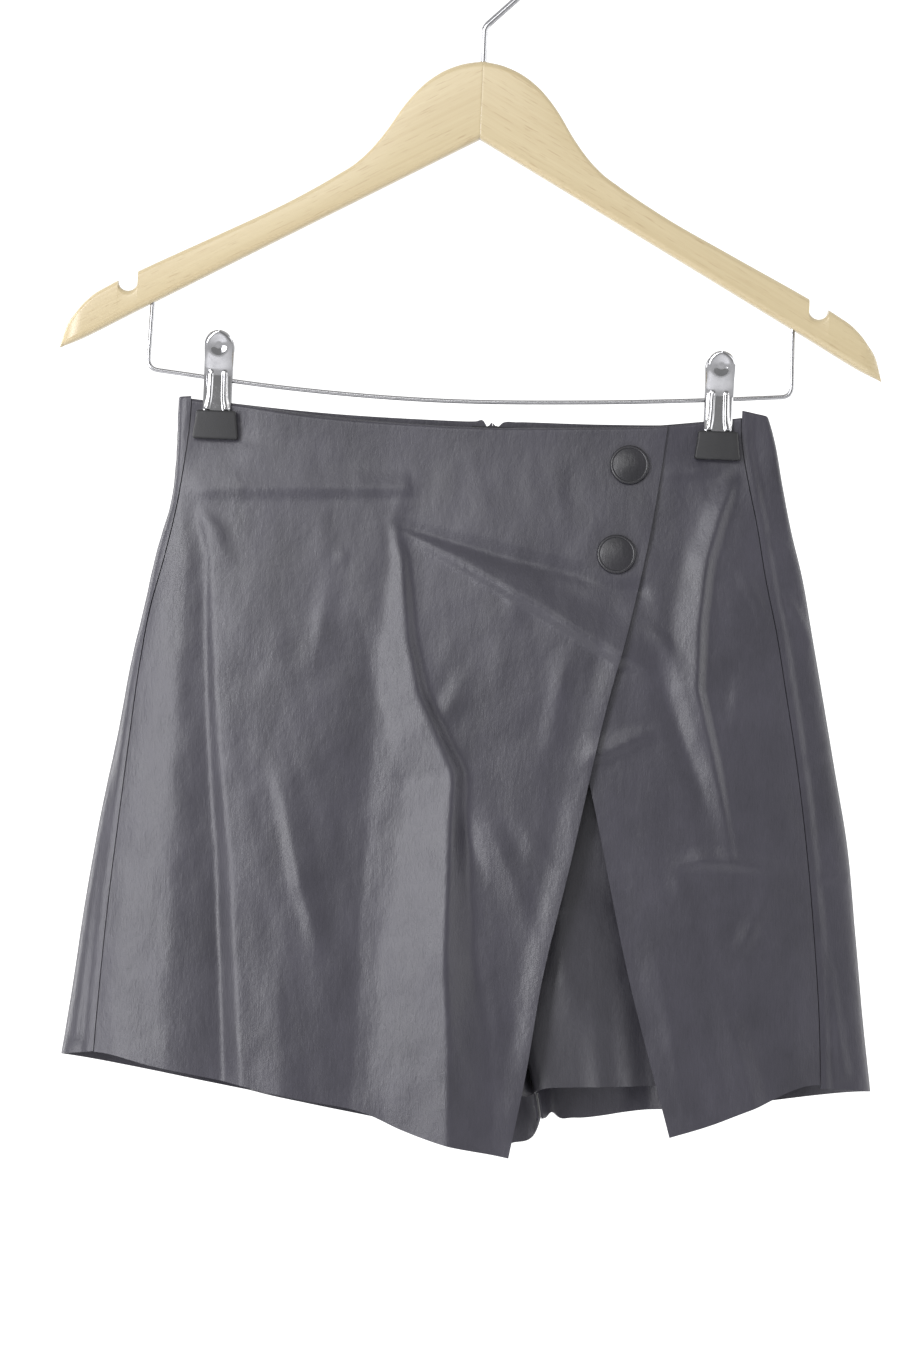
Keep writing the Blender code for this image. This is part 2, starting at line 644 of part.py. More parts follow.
def pivot_height(clip):
    """A clip turns and slides on the bar, so its pivot is where the bar is."""
    return float(height_over(BAR_RUN, clip.x))


# One clip's plate by height above its pivot: half width, and how far its inner side stands off.
Plate = namedtuple("Plate", "z half_width stand_off")
PLATE = (Plate(24.3, 2.2, 12.6), Plate(22.6, 4.9, 12.2), Plate(20, 6.4, 11.6), Plate(16.5, 7.0, 10.6),
         Plate(11, 6.9, 8.4), Plate(5, 7.1, 5.4), Plate(0, 7.3, 4.3), Plate(-6, 7.5, 4.3),
         Plate(-12, 8.2, 4.5), Plate(-16.6, 10.0, 4.7), Plate(-20, 10.2, 4.7), Plate(-26, 10.2, 4.7))
PLATE_THICKNESS = 1.0
PLATE_CURL = 1.1  # the plate's long edges are bent in this far
RIB_X = 0.5  # the two pressed ribs, as a share of the half width
RIB_HEIGHT = 0.7
BOOT = (24.5, 4.0, 15.4)  # width, thickness and height of the rubber boot on each jaw
BOOT_TOP = -17.4  # below the pivot
SPRING_RADIUS = 3.9
SPRING_LENGTH = 9.0


def plate_place(clip, towards):
    """A clip's plate as place(u, v): u across it and v down it."""
    heights = [-row.z for row in PLATE]
    pivot_z = pivot_height(clip)

    def place(u, v):
        down = through(np.linspace(0, 1, len(PLATE)), heights, v)
        half = through(heights, [row.half_width for row in PLATE], down)
        stand = through(heights, [row.stand_off for row in PLATE], down)
        across = 2 * u - 1
        y = towards * (stand - PLATE_CURL * across**4 * smoothstep(19, 12, down))
        return np.stack([clip.x + half * across, y, pivot_z - down])
    return place


def rib_level(clip):
    """The two ribs pressed into a plate between its pivot and its jaw."""
    def level(x, y, z):
        down = pivot_height(clip) - z
        half = through([-row.z for row in PLATE], [row.half_width for row in PLATE], down)
        off_rib = np.abs(np.abs(x - clip.x) / half - RIB_X)
        stretch = smoothstep(-5, -1, down) * smoothstep(17, 13, down)
        return RIB_HEIGHT * smoothstep(0.25, 0.05, off_rib) * stretch
    return level


def cloth_reach(clip, towards):
    """How far the pressed cloth stands out from the middle under a boot."""
    x, z = np.meshgrid(np.linspace(-BOOT[0] / 2, BOOT[0] / 2, 7) + clip.x,
                       np.linspace(BOOT_TOP - BOOT[2], BOOT_TOP, 7) + pivot_height(clip))
    if towards > 0:
        return float((core_depth(x, z, "back_depth") + WALL).max())
    top = over_level if clip.side == "left" else under_level
    return float((core_depth(x, z, "front_depth") + top(x, 0, z) + WALL).max())


def add_clip(clip, chrome, rubber, spring_steel):
    pivot_z = pivot_height(clip)
    for towards, word in ((-1, "front"), (1, "rear")):
        add_wall(f"clip_{clip.side}_{word}_plate", plate_place(clip, towards), rib_level(clip),
                 evenly(9), evenly(12), towards, chrome, PLATE_THICKNESS)
        inner = cloth_reach(clip, towards) + 1.6 * GAP
        low = (clip.x - BOOT[0] / 2, inner, pivot_z + BOOT_TOP - BOOT[2])
        high = (clip.x + BOOT[0] / 2, inner + BOOT[1], pivot_z + BOOT_TOP)
        shape = box(low, high)
        bmesh.ops.scale(shape, vec=(1, towards, 1), verts=shape.verts)
        boot = add_from_bmesh(f"clip_{clip.side}_{word}_boot", shape, rubber, bevel=1.0)
        stand = PLATE[-1].stand_off
        half = PLATE[-1].half_width + GAP
        end = pivot_z + PLATE[-1].z - GAP
        slot = box((clip.x - half, stand - GAP, end),
                   (clip.x + half, stand + PLATE_THICKNESS + GAP, high[2] + 5))
        bmesh.ops.scale(slot, vec=(1, towards, 1), verts=slot.verts)
        cutter = add_from_bmesh(f"slot_{clip.side}_{word}", slot, rubber)
        change(boot, cutter, "DIFFERENCE")
    inner_radius = BAR_WIRE / 2 + 2 * GAP
    half_length = SPRING_LENGTH / 2
    spring = bmesh.new()
    sides = 14
    rings = []
    for radius, end in ((SPRING_RADIUS, -1), (SPRING_RADIUS, 1), (inner_radius, 1), (inner_radius, -1)):
        angles = [2 * math.pi * (i + 0.5) / sides for i in range(sides)]
        rings.append([spring.verts.new((clip.x + end * half_length, radius * math.cos(a),
                                        pivot_z + radius * math.sin(a))) for a in angles])
    for low, high in zip(rings, rings[1:] + rings[:1]):
        for i in range(sides):
            spring.faces.new((low[i], low[i - 1], high[i - 1], high[i]))
    add_from_bmesh(f"clip_{clip.side}_spring", spring, spring_steel)


# ---------------------------------------------------------------- buttons and zip
def over_surface(x, z):
    """A point on the over panel's outer side."""
    x, z = np.asarray(x, float), np.asarray(z, float)
    return on_front(x, z) + np.stack([0 * x, -(over_level(x, 0, z) + WALL), 0 * x])


def add_button(button, finish):
    """A covered snap cap: a low dome with a rounded rim, square to the cloth under it."""
    step = 4.0
    across = over_surface(button.x + step, button.z) - over_surface(button.x - step, button.z)
    up = over_surface(button.x, button.z + step) - over_surface(button.x, button.z - step)
    out = Vector(np.cross(across, up)).normalized()
    if out.y > 0:
        out.negate()
    side = Vector(across).normalized()
    frame = Matrix((side, out.cross(side), out)).transposed().to_4x4()
    seat = Vector(over_surface(button.x, button.z)) + out * (2 * GAP)
    frame.translation = seat
    rim = [(BUTTON_RADIUS - 1.0 + math.sin(a), 1.0 - math.cos(a)) for a in (0.3, 0.9, 1.57)]
    shoulder = BUTTON_HEIGHT - BUTTON_DOME
    turn_in = [(BUTTON_RADIUS - 1.1 + 1.1 * math.cos(a), shoulder - 0.4 + 0.9 * math.sin(a))
               for a in (0.3, 0.9, 1.4)]
    dome = [(BUTTON_RADIUS * share, BUTTON_HEIGHT - 0.9 * BUTTON_DOME * share**2)
            for share in (0.62, 0.25)]
    profile = [(BUTTON_RADIUS - 1.4, 0), *rim, *turn_in, *dome]
    add_from_bmesh(button.name, turned(profile, 20, frame), finish)


def on_back(x, z):
    return np.stack([x, core_depth(x, z, "back_depth"), z])


def zip_place(u, v):
    top = height_over(BACK_TOP, centre_x(WAIST_Z))
    z = top + (ZIP_BOTTOM_Z - top) * v
    return on_back(centre_x(z) + ZIP_TAPE_WIDTH * (u - 0.5), z)


def zip_level(x, y, z):
    folds = np.maximum(relief(BACK_FOLDS, x, z) * smoothstep(JAW_Z, JAW_Z - 30, z), -2.6)
    return folds - GAP - ZIP_TAPE_THICKNESS


def add_zip_slider(metal):
    """A slider whose plate lies on the seam, two ears and a pin, and the pull that swings on it."""
    x = float(centre_x(np.array(SLIDER_Z)))
    width, thickness, height = SLIDER
    seat = max(float(on_back(np.array(x + dx), np.array(SLIDER_Z + dz))[1])
               for dx in (-4, 0, 4) for dz in (-6, 0, 6)) + WALL + GAP
    plate_top = seat + thickness
    axis_y, axis_z = plate_top + PULL_PIVOT_RISE, SLIDER_Z + 1.5
    plate = box((x - width / 2, seat, SLIDER_Z - height / 2),
                (x + width / 2, plate_top, SLIDER_Z + height / 2))
    body = add_from_bmesh("zip_slider", plate, metal, bevel=0.5)
    ear_inner, ear_outer = width / 2 - 0.8, width / 2 - 0.1
    for word, sign in (("left", -1), ("right", 1)):
        ends = sorted((x + sign * ear_inner, x + sign * ear_outer))
        ear = add_from_bmesh(f"ear_{word}", box((ends[0], seat + thickness / 2, axis_z - 1.4),
                                                (ends[1], axis_y + 1.2, axis_z + 1.4)), metal)
        change(body, ear, "UNION")
    along_x = Matrix.Rotation(math.pi / 2, 4, "Y")
    along_x.translation = Vector((x, axis_y, axis_z))
    pin_half = ear_inner + 0.4
    pin = add_from_bmesh("pin", turned([(0.6, -pin_half), (0.6, pin_half)], 10, along_x), metal)
    change(body, pin, "UNION")
    eye_half = ear_inner - GAP
    eye = add_from_bmesh("zip_pull", turned([(1.8, -eye_half), (1.8, eye_half)], 16, along_x), metal)
    tab = bmesh.new()
    tip_z = axis_z - PULL_LENGTH
    outline = [(-eye_half, axis_z - 1.0)]
    for share in np.linspace(0, 1, 7):
        turn = math.pi * (1 + share)
        outline.append((PULL_WIDTH / 2 * math.cos(turn), tip_z + PULL_WIDTH / 2 * (1 + math.sin(turn))))
    outline.append((eye_half, axis_z - 1.0))
    front = [tab.verts.new((x + px, axis_y - PULL_THICKNESS / 2, pz)) for px, pz in outline]
    face = tab.faces.new(front)
    thick = bmesh.ops.extrude_face_region(tab, geom=[face])
    moved = [v for v in thick["geom"] if isinstance(v, bmesh.types.BMVert)]
    bmesh.ops.translate(tab, vec=(0, PULL_THICKNESS, 0), verts=moved)
    blade = add_from_bmesh("pull_blade", tab, metal)
    change(eye, blade, "UNION")
    hole = add_from_bmesh("pull_hole", turned([(0.9, -4), (0.9, 4)], 12, along_x), metal)
    change(eye, hole, "DIFFERENCE")


# ---------------------------------------------------------------- build
for old in list(bpy.data.objects):
    bpy.data.objects.remove(old, do_unlink=True)

hanging = bpy.data.objects.new("hanging_point", None)
bpy.context.collection.objects.link(hanging)

leather = material("coated_cloth", (0.060, 0.058, 0.068), 0.42)
leather_inside = material("shorts_cloth", (0.050, 0.048, 0.057), 0.46)
button_cover = material("button_cover", (0.030, 0.029, 0.034), 0.40)
tape = material("zip_tape", (0.020, 0.020, 0.024), 0.85)
black_metal = material("painted_zip_metal", (0.030, 0.030, 0.032), 0.35, 0.8)
wood = material("varnished_beech", (0.72, 0.50, 0.27), 0.38)
chrome = material("chrome", (0.62, 0.62, 0.63), 0.16, 1.0)
steel = material("steel_wire", (0.55, 0.55, 0.56), 0.28, 1.0)
rubber = material("black_rubber", (0.025, 0.025, 0.027), 0.70)

over_left = seam_edge("left_seam", GAP / 2, -256.5, OVER_HEM[0][1])
over_right = along(OVER_EDGE)
over = patch(over_left, over_right,
             part_of(FRONT_TOP, float(over_left(0.0)[0]), OVER_EDGE[0][0]),
             part_of(OVER_HEM, float(over_left(1.0)[0]), OVER_EDGE[-1][0]))
add_wall("over_panel", over, over_level, evenly(24), evenly(22), -1, leather)

under_right = seam_edge("right_seam", -GAP / 2, -254.0, UNDER_HEM[-1][1])
under = patch(along(UNDER_EDGE), under_right,
              part_of(FRONT_TOP, UNDER_EDGE[0][0], float(under_right(0.0)[0])),
              part_of(UNDER_HEM, UNDER_EDGE[-1][0], float(under_right(1.0)[0])))
add_wall("under_panel", under, under_level, evenly(14), evenly(22), -1, leather)

for side, word in ((-1, "left"), (1, "right")):
    add_wall(f"shorts_front_{word}", shorts_place(side), shorts_level, evenly(12),
             leg_rows(-265.0, -621.0), -1, leather_inside)
    add_wall(f"back_{word}", back_place(side), back_level(side), SIDE_FINE,
             leg_rows(-261.0, -638.0), 1, leather)

for button in BUTTONS:
    add_button(button, button_cover)
add_wall("zip_tape", zip_place, zip_level, evenly(3), evenly(10), 1, tape, ZIP_TAPE_THICKNESS)
add_zip_slider(black_metal)

shank_hole = turned([(HOOK_WIRE / 2 + GAP, SHANK_BOTTOM_Z - GAP), (HOOK_WIRE / 2 + GAP, -60)], 14,
                    Matrix.Translation((MITRE_X, 0, 0)))
hook_cutter = add_from_bmesh("shank_hole", shank_hole, wood)
for side, word in ((-1, "left"), (1, "right")):
    arm = add_arm(f"hanger_arm_{word}", side, wood)
    change(arm, hook_cutter, "DIFFERENCE")
    end_x, end_z = BAR_ROUTE[0 if side < 0 else -1]
    hole_ends = (end_z - 20, end_z + BAR_DEPTH_IN_WOOD + GAP)
    end_hole = turned([(BAR_WIRE / 2 + GAP, end) for end in hole_ends], 12,
                      Matrix.Translation((end_x, 0, 0)))
    change(arm, add_from_bmesh(f"bar_hole_{word}", end_hole, wood), "DIFFERENCE")
add_wire("hook", hook_points(), HOOK_WIRE, steel)
add_wire("trouser_bar", bar_points(), BAR_WIRE, steel)
for clip in CLIPS:
    add_clip(clip, chrome, rubber, steel)
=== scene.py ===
"""The looks of a faux-leather skort that hangs by two clips from a wooden trouser hanger.

The origin is where a rod carries the hook, +Z is up and the front faces -Y. Sizes are in millimetres
and go to metres when a mesh is made. The cloth repeats the part's own surface, a flattened tube with
each panel at its level outside it, on a finer grid with its creases.
"""

import math
from collections import namedtuple

import bpy
import bmesh
import numpy as np
from mathutils import Matrix, Vector


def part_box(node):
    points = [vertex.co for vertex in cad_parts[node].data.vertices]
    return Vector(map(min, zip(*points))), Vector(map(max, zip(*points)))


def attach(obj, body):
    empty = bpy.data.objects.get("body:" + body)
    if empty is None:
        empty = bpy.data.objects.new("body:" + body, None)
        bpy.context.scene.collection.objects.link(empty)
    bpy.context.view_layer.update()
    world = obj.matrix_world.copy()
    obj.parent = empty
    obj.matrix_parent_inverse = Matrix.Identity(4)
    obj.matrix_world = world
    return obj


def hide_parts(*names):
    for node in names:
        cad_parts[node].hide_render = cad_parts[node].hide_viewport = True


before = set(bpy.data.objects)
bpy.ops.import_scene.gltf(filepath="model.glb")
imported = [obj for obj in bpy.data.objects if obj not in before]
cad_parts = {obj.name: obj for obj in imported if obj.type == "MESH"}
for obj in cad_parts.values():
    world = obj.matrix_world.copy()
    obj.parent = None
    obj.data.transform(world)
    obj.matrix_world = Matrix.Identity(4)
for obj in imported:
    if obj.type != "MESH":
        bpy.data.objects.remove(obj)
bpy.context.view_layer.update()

# ------------------------------------------------------------------ camera
# The photograph was taken from straight in front, level with the hips, with the camera turned
# 2.4 degrees, so that the hanger seems to dip to the right.
CAMERA_TURN = math.radians(2.4)
CAMERA_DISTANCE = 2.2
VIEW_CENTRE = (-0.0045, -0.4004)
FRAME_HEIGHT = 0.7295  # metres of the object's plane in the picture's height

right = Vector((math.cos(CAMERA_TURN), 0, math.sin(CAMERA_TURN)))
upward = Vector((-math.sin(CAMERA_TURN), 0, math.cos(CAMERA_TURN)))
camera = bpy.data.objects.new("camera", bpy.data.cameras.new("camera"))
camera.matrix_world = Matrix((right, upward, right.cross(upward))).transposed().to_4x4()
camera.location = (VIEW_CENTRE[0], -CAMERA_DISTANCE, VIEW_CENTRE[1])
camera.data.sensor_fit = "VERTICAL"
camera.data.sensor_height = 36
camera.data.lens = 36 * CAMERA_DISTANCE / FRAME_HEIGHT
bpy.context.scene.collection.objects.link(camera)
bpy.context.scene.camera = camera

# ------------------------------------------------------------------ shorts: the two fronts
# Innermost are the shorts' fronts, cut from coated knit cloth and seen only in the gap between the
# skirt panels. Each runs from the side seam to the centre seam and, on the leg, round to the inseam.
MM = 0.001
GAP = 0.3  # between pieces that are sewn together or touch
WALL = 1.1  # coated cloth with its backing
BLUNT = 2.6  # how square the flattened tube is: 2 is an ellipse
CORE_INSET = 1.3  # the tube that the cloth hangs round lies this far inside the silhouette

# The hanging tube: silhouettes and side seams as seen from the front, and its two depths.
Section = namedtuple("Section", "z left left_seam right_seam right front_depth back_depth")
SECTIONS = (
    Section(-246, -157.8, -150.4, 145.0, 157.0, 2.8, 3.4),
    Section(-262, -157.6, -150.6, 145.3, 162.7, 3.0, 3.6),
    Section(-290, -156.8, -152.6, 150.3, 169.1, 4.0, 6.0),
    Section(-312, -158.4, -155.0, 155.4, 174.2, 5.5, 9.0),
    Section(-340, -165.5, -160.4, 161.0, 182.0, 7.5, 13.0),
    Section(-370, -170.6, -167.0, 168.2, 188.4, 9.5, 17.0),
    Section(-400, -177.0, -171.4, 174.1, 194.8, 11.0, 19.5),
    Section(-440, -183.4, -175.4, 181.8, 203.2, 12.0, 21.0),
    Section(-480, -190.2, -179.0, 188.2, 211.6, 12.5, 21.5),
    Section(-530, -197.0, -183.2, 194.6, 218.4, 13.0, 21.5),
    Section(-580, -202.4, -186.2, 199.6, 224.9, 13.5, 21.0),
    Section(-615, -206.8, -187.8, 201.5, 230.2, 14.0, 21.0),
    Section(-660, -212.6, -189.4, 203.4, 237.0, 14.0, 21.0),
)

# The clips press the waist flat round these places.
Clip = namedtuple("Clip", "side x")
CLIPS = (Clip("left", -136.8), Clip("right", 132.6))
JAW_Z = -270.0
PINCH_REACH = 24.0
PINCH_SHARE = 0.88

# The centre seam, which runs down to the gap between the legs.
Centre = namedtuple("Centre", "z x leg_gap")
CENTRE_LINE = (Centre(-246, 11, 0), Centre(-400, 17, 0), Centre(-500, 25, 0), Centre(-534, 29, 0),
               Centre(-570, 36, 0.5), Centre(-600, 43.5, 0.8), Centre(-621, 50, 0.9), Centre(-660, 56, 1))
CROTCH_Z = -534.0
CROTCH_RISE = 42.0
INNER_LEG_RADIUS = 16.0
INNER_LEG_BLUNT = 3.6
CORNER_LEAN = 2.5  # the blunt corner turns in this much sooner than a round one
LEG_SLANT = 4.0  # the gap between the legs lies this far left at the front and right at the back

# Heights at which the corners of the shorts' pieces are set out across the tube.
WAIST_Z = -262.0
SEAM_TOP_Z = -258.0
FRONT_HEM_Z = -610.0

# Edges seen from the front, each a short list of (x, z).
FRONT_TOP = ((-152, -256.5), (-126, -258.5), (-92, -262.5), (-45, -265), (15, -265.5),
             (60, -263.5), (105, -260.5), (123, -257.7), (146, -254))
SHORTS_HEM = ((-188, -607), (-60, -614), (42, -622), (60, -620), (84, -617), (112, -615), (202, -606))

# Large folds, as the solids have them: soft bells along a line, above 0 a ridge, below 0 a trough.
Fold = namedtuple("Fold", "x0 z0 x1 z1 width height")
SHORTS_FOLDS = (
    Fold(58, -500, 66, -575, 12, 2.0),
    Fold(92, -520, 110, -600, 11, -2.0),
    Fold(-100, -480, -96, -600, 20, 2.4),
)

# Creases: a line of (x, z, left, right, height). left and right are the widths over which the cloth
# falls away on each side of it, for someone who walks along the line. Below 0 it is a trough.
SHORTS_CREASES = (
    ((56, -522, 3, 4, 0.7), (72, -518, 3, 4, 0.5)),
    ((83, -617, 7, 7, 1.5), (78, -570, 7, 7, 0.4)),
    ((101, -616, 6, 7, 1.4), (94, -569, 6, 7, 0.3)),
    ((62, -560, 5, 4, 0.8), (58, -530, 5, 4, 0.2)),
)


def through(knots, values, at):
    """Smooth curve through a row of values: a cubic between each two, flat beyond the ends."""
    knots = np.asarray(knots, float)
    values = np.asarray(values, float)
    slopes = np.gradient(values, knots)
    at = np.clip(at, knots[0], knots[-1])
    i = np.clip(np.searchsorted(knots, at, side="right") - 1, 0, len(knots) - 2)
    span = knots[i + 1] - knots[i]
    t = (at - knots[i]) / span
    return ((2 * t**3 - 3 * t**2 + 1) * values[i] + (t**3 - 2 * t**2 + t) * span * slopes[i]
            + (3 * t**2 - 2 * t**3) * values[i + 1] + (t**3 - t**2) * span * slopes[i + 1])


def at_height(rows, column, z):
    """One column of a table whose rows run downwards, read at the heights z."""
    return through([-row.z for row in rows], [getattr(row, column) for row in rows], -z)


def height_over(points, x):
    """The height of an edge, given as (x, z) points from left to right, at the places x."""
    return through([p[0] for p in points], [p[1] for p in points], x)


def place_on(points, z):
    """The place in x of an edge, given as (x, z) points that run downwards, at the heights z."""
    return through([-p[1] for p in points], [p[0] for p in points], -z)


def smoothstep(low, high, value):
    """0 below low, 1 above high, and 3t^2 - 2t^3 of the share t between them."""
    t = np.clip((value - low) / (high - low), 0, 1)
    return t * t * (3 - 2 * t)


def middle_and_reach(z):
    """The tube's centre and half width at the heights z."""
    left = at_height(SECTIONS, "left", z) + CORE_INSET
    right = at_height(SECTIONS, "right", z) - CORE_INSET
    return (left + right) / 2, (right - left) / 2


def pressed(x, z):
    """How far the clips press the tube flat: a soft round spot below each clip."""
    near = [np.exp(-(((x - c.x) ** 2 + (z - JAW_Z) ** 2) / PINCH_REACH**2) ** 1.5) for c in CLIPS]
    return PINCH_SHARE * np.clip(sum(near), 0, 1)


def core_depth(x, z, column):
    """The tube's depth: a superellipse, 1 in the middle and 0 at the silhouettes, times the
    section's depth, and flatter where a clip presses."""
    middle, reach = middle_and_reach(z)
    fullness = np.clip(1 - np.abs((x - middle) / reach) ** BLUNT, 0, 1) ** (1 / BLUNT)
    return at_height(SECTIONS, column, z) * fullness * (1 - pressed(x, z))


def fold_relief(folds, x, z):
    """The sum of the folds, each height * exp(-(distance from its line / width)^2)."""
    total = np.zeros_like(x)
    for f in folds:
        run = np.array([f.x1 - f.x0, f.z1 - f.z0])
        t = np.clip(((x - f.x0) * run[0] + (z - f.z0) * run[1]) / (run @ run), 0, 1)
        away = np.hypot(x - f.x0 - t * run[0], z - f.z0 - t * run[1])
        total += f.height * np.exp(-((away / f.width) ** 2))
    return total


def crease_relief(creases, x, z, crest=0.8, foot=0.16):
    """The sum of the creases. A point takes the nearest place on a crease's line, with the height
    and the width on its own side there. With t = 1 - (sqrt(d^2 + crest^2) - crest) / width it gets
    height * (t + sqrt(t^2 + foot^2)) / 2: a tent with flat slopes, a top rounded over about crest
    and a soft foot."""
    total = np.zeros_like(x)
    for line in creases:
        rows = np.array(line, float)
        nearest = np.full(x.shape, np.inf)
        lift = np.zeros_like(x)
        for a, b in zip(rows, rows[1:]):
            run = b[:2] - a[:2]
            t = np.clip(((x - a[0]) * run[0] + (z - a[1]) * run[1]) / (run @ run), 0, 1)
            dx, dz = x - a[0] - t * run[0], z - a[1] - t * run[1]
            away = np.hypot(dx, dz)
            side = smoothstep(-1.5, 1.5, run[0] * dz / np.hypot(*run) - run[1] * dx / np.hypot(*run))
            left, right, height = (a[k] + (b[k] - a[k]) * t for k in (2, 3, 4))
            width = right + (left - right) * side
            share = 1 - (np.sqrt(away**2 + crest**2) - crest) / width
            value = height * (share + np.sqrt(share**2 + foot**2)) / 2
            closer = away < nearest
            lift = np.where(closer, value, lift)
            nearest = np.where(closer, away, nearest)
        total += lift
    return total


def unevenness(x, z, seed, size):
    """The cloth's small unevenness: thirty plane waves in seeded directions, 12 to 60 millimetres
    long, each size * 0.0035 of its length high."""
    draw = np.random.default_rng(seed)
    total = np.zeros_like(x)
    for length in np.geomspace(12, 60, 30):
        turn, shift = draw.uniform(0, math.pi), draw.uniform(0, 2 * math.pi)
        wave = (x * math.cos(turn) + z * math.sin(turn) * 0.7) * 2 * math.pi / length
        total += size * 0.0035 * length * np.sin(wave + shift)
    return total


def centre_x(z):
    return at_height(CENTRE_LINE, "x", z)


def leg_share(z):
    """0 where the body is one tube, 1 where it is two legs."""
    return smoothstep(CROTCH_Z + CROTCH_RISE, CROTCH_Z, z)


def leg_curve(side, facing, k, z, share):
    """x and depth share round the inner leg: straight to the centre seam on the body, and on the
    leg a blunt quarter round, cos and sin to the power 2 / INNER_LEG_BLUNT, that leans with depth.
    k runs from 0 on the panel to 1 on the seam, and facing is -1 for the front and 1 for the back."""
    turn = math.pi / 2
    depth = at_height(SECTIONS, "back_depth", z)
    lean = np.arctan2(CORNER_LEAN * share * turn * depth, INNER_LEG_RADIUS * (1 - share))
    gap = GAP / 2 + WALL * np.sin(lean) + np.maximum(at_height(CENTRE_LINE, "leg_gap", z), 0) / 2
    start = centre_x(z) + side * (gap + INNER_LEG_RADIUS)
    power = 2 / (2 + (INNER_LEG_BLUNT - 2) * share)
    run = (1 - share) * k + share * np.sin(turn * k) ** power
    depth_share = (1 - share) + share * np.abs(np.cos(turn * k)) ** power
    slant = facing * LEG_SLANT * share * depth_share
    return start + slant - side * INNER_LEG_RADIUS * run, depth_share


def signed_power(value, power):
    """|value| to the power, with the sign of value."""
    return np.sign(value) * np.abs(value) ** power


def shorts_place(side):
    """The shorts' front of one side (-1 left, 1 right): even steps to the inner leg, then leg_curve."""
    column = "left_seam" if side < 0 else "right_seam"
    tuck = side * 0.8  # the seam allowance runs on behind the side seam
    flat = 0.74  # share of the columns before the inner leg begins

    def place(u, v):
        top_x = at_height(SECTIONS, column, SEAM_TOP_Z) * (1 - u) + centre_x(WAIST_Z) * u
        hem_x = at_height(SECTIONS, column, FRONT_HEM_Z) * (1 - u) + centre_x(FRONT_HEM_Z) * u
        top = height_over(FRONT_TOP, top_x)
        z = top + (height_over(SHORTS_HEM, hem_x) - top) * v
        share = leg_share(z)
        k = np.clip((u - flat) / (1 - flat), 0, 1)
        inner_x, depth_share = leg_curve(side, -1, k, z, share)
        start_x = at_height(SECTIONS, column, z) + tuck
        panel_x = start_x + (leg_curve(side, -1, 0 * k, z, share)[0] - start_x) * u / flat
        x = np.where(u < flat, panel_x, inner_x)
        y = -core_depth(x, z, "front_depth") * depth_share - GAP / 2 * share
        return np.stack([x, y, z])
    return place


def off_seams(x, z, margin):
    """0 at the side seams and 1 from margin inside them."""
    left, right = at_height(SECTIONS, "left_seam", z), at_height(SECTIONS, "right_seam", z)
    return smoothstep(0, margin, x - left) * smoothstep(0, margin, right - x)


def shorts_level(x, y, z):
    """The shorts' folds, and creases that fade out at the side seams, the waist and the inseam."""
    free = off_seams(x, z, 16) * smoothstep(-300, -340, z)
    fine = crease_relief(SHORTS_CREASES, x, z) + unevenness(x, z, 5, 0.3)
    front = smoothstep(0, -4, y)
    return fold_relief(SHORTS_FOLDS, x, z) + np.maximum(fine, -1.2) * free * front


def add_mesh(name, points, faces, finish, sharp=40):
    """A mesh from points in millimetres and faces, smooth but for edges sharper than sharp degrees."""
    mesh = bpy.data.meshes.new(name)
    mesh.from_pydata((np.asarray(points) * MM).tolist(), [], faces)
    mesh.shade_smooth()
    mesh.set_sharp_from_angle(angle=math.radians(sharp))
    mesh.materials.append(finish)
    piece = bpy.data.objects.new(name, mesh)
    bpy.context.scene.collection.objects.link(piece)
    return piece


def add_wall(name, place, level, across_at, down_at, towards, finish, wall=WALL, turned=0.0):
    """A closed cloth wall. place(u, v) gives the tube's points and level(x, y, z) how far outside
    them the inner side lies, along the normal, which is the cross product of two small steps.
    Over the first turned millimetres the outer side comes down in a quarter round, as on an edge
    that is turned over. towards is -1 for a wall seen from the front, 1 from the back."""
    u, v = np.meshgrid(across_at, down_at)
    rows, columns = u.shape
    step = 1e-3
    across = place(np.minimum(u + step, 1), v) - place(np.maximum(u - step, 0), v)
    down = place(u, np.minimum(v + step, 1)) - place(u, np.maximum(v - step, 0))
    out = np.cross(across, down, axis=0)
    out /= np.linalg.norm(out, axis=0)
    flip = np.sign(towards * out[1, rows // 2, columns // 2])
    out *= flip
    core = place(u, v)
    lift = level(*core)
    thick = np.full_like(lift, wall)
    if turned:
        below = core[2, :1] - core[2]
        thick = wall * np.sqrt(1 - (1 - np.clip(0.04 + below / turned, 0, 1)) ** 2)
    inner = (core + lift * out).reshape(3, -1).T
    outer = (core + (lift + thick) * out).reshape(3, -1).T
    size = rows * columns
    i, j = np.meshgrid(np.arange(rows - 1), np.arange(columns - 1), indexing="ij")
    corner = i.ravel() * columns + j.ravel()
    faces = np.stack([corner, corner + columns, corner + columns + 1, corner + 1], axis=1)
    rim = np.concatenate([np.arange(columns), columns * np.arange(2, rows + 1) - 1,
                          np.arange(size - 2, size - columns - 1, -1),
                          columns * np.arange(rows - 2, 0, -1)])
    ahead = np.roll(rim, -1)
    sides = np.stack([rim, ahead, ahead + size, rim + size], axis=1)
    shell = np.concatenate([faces, faces[:, ::-1] + size, sides])
    if flip < 0:
        shell = shell[:, ::-1]
    return add_mesh(name, np.concatenate([outer, inner]), shell[:, ::-1].tolist(), finish, sharp=50)


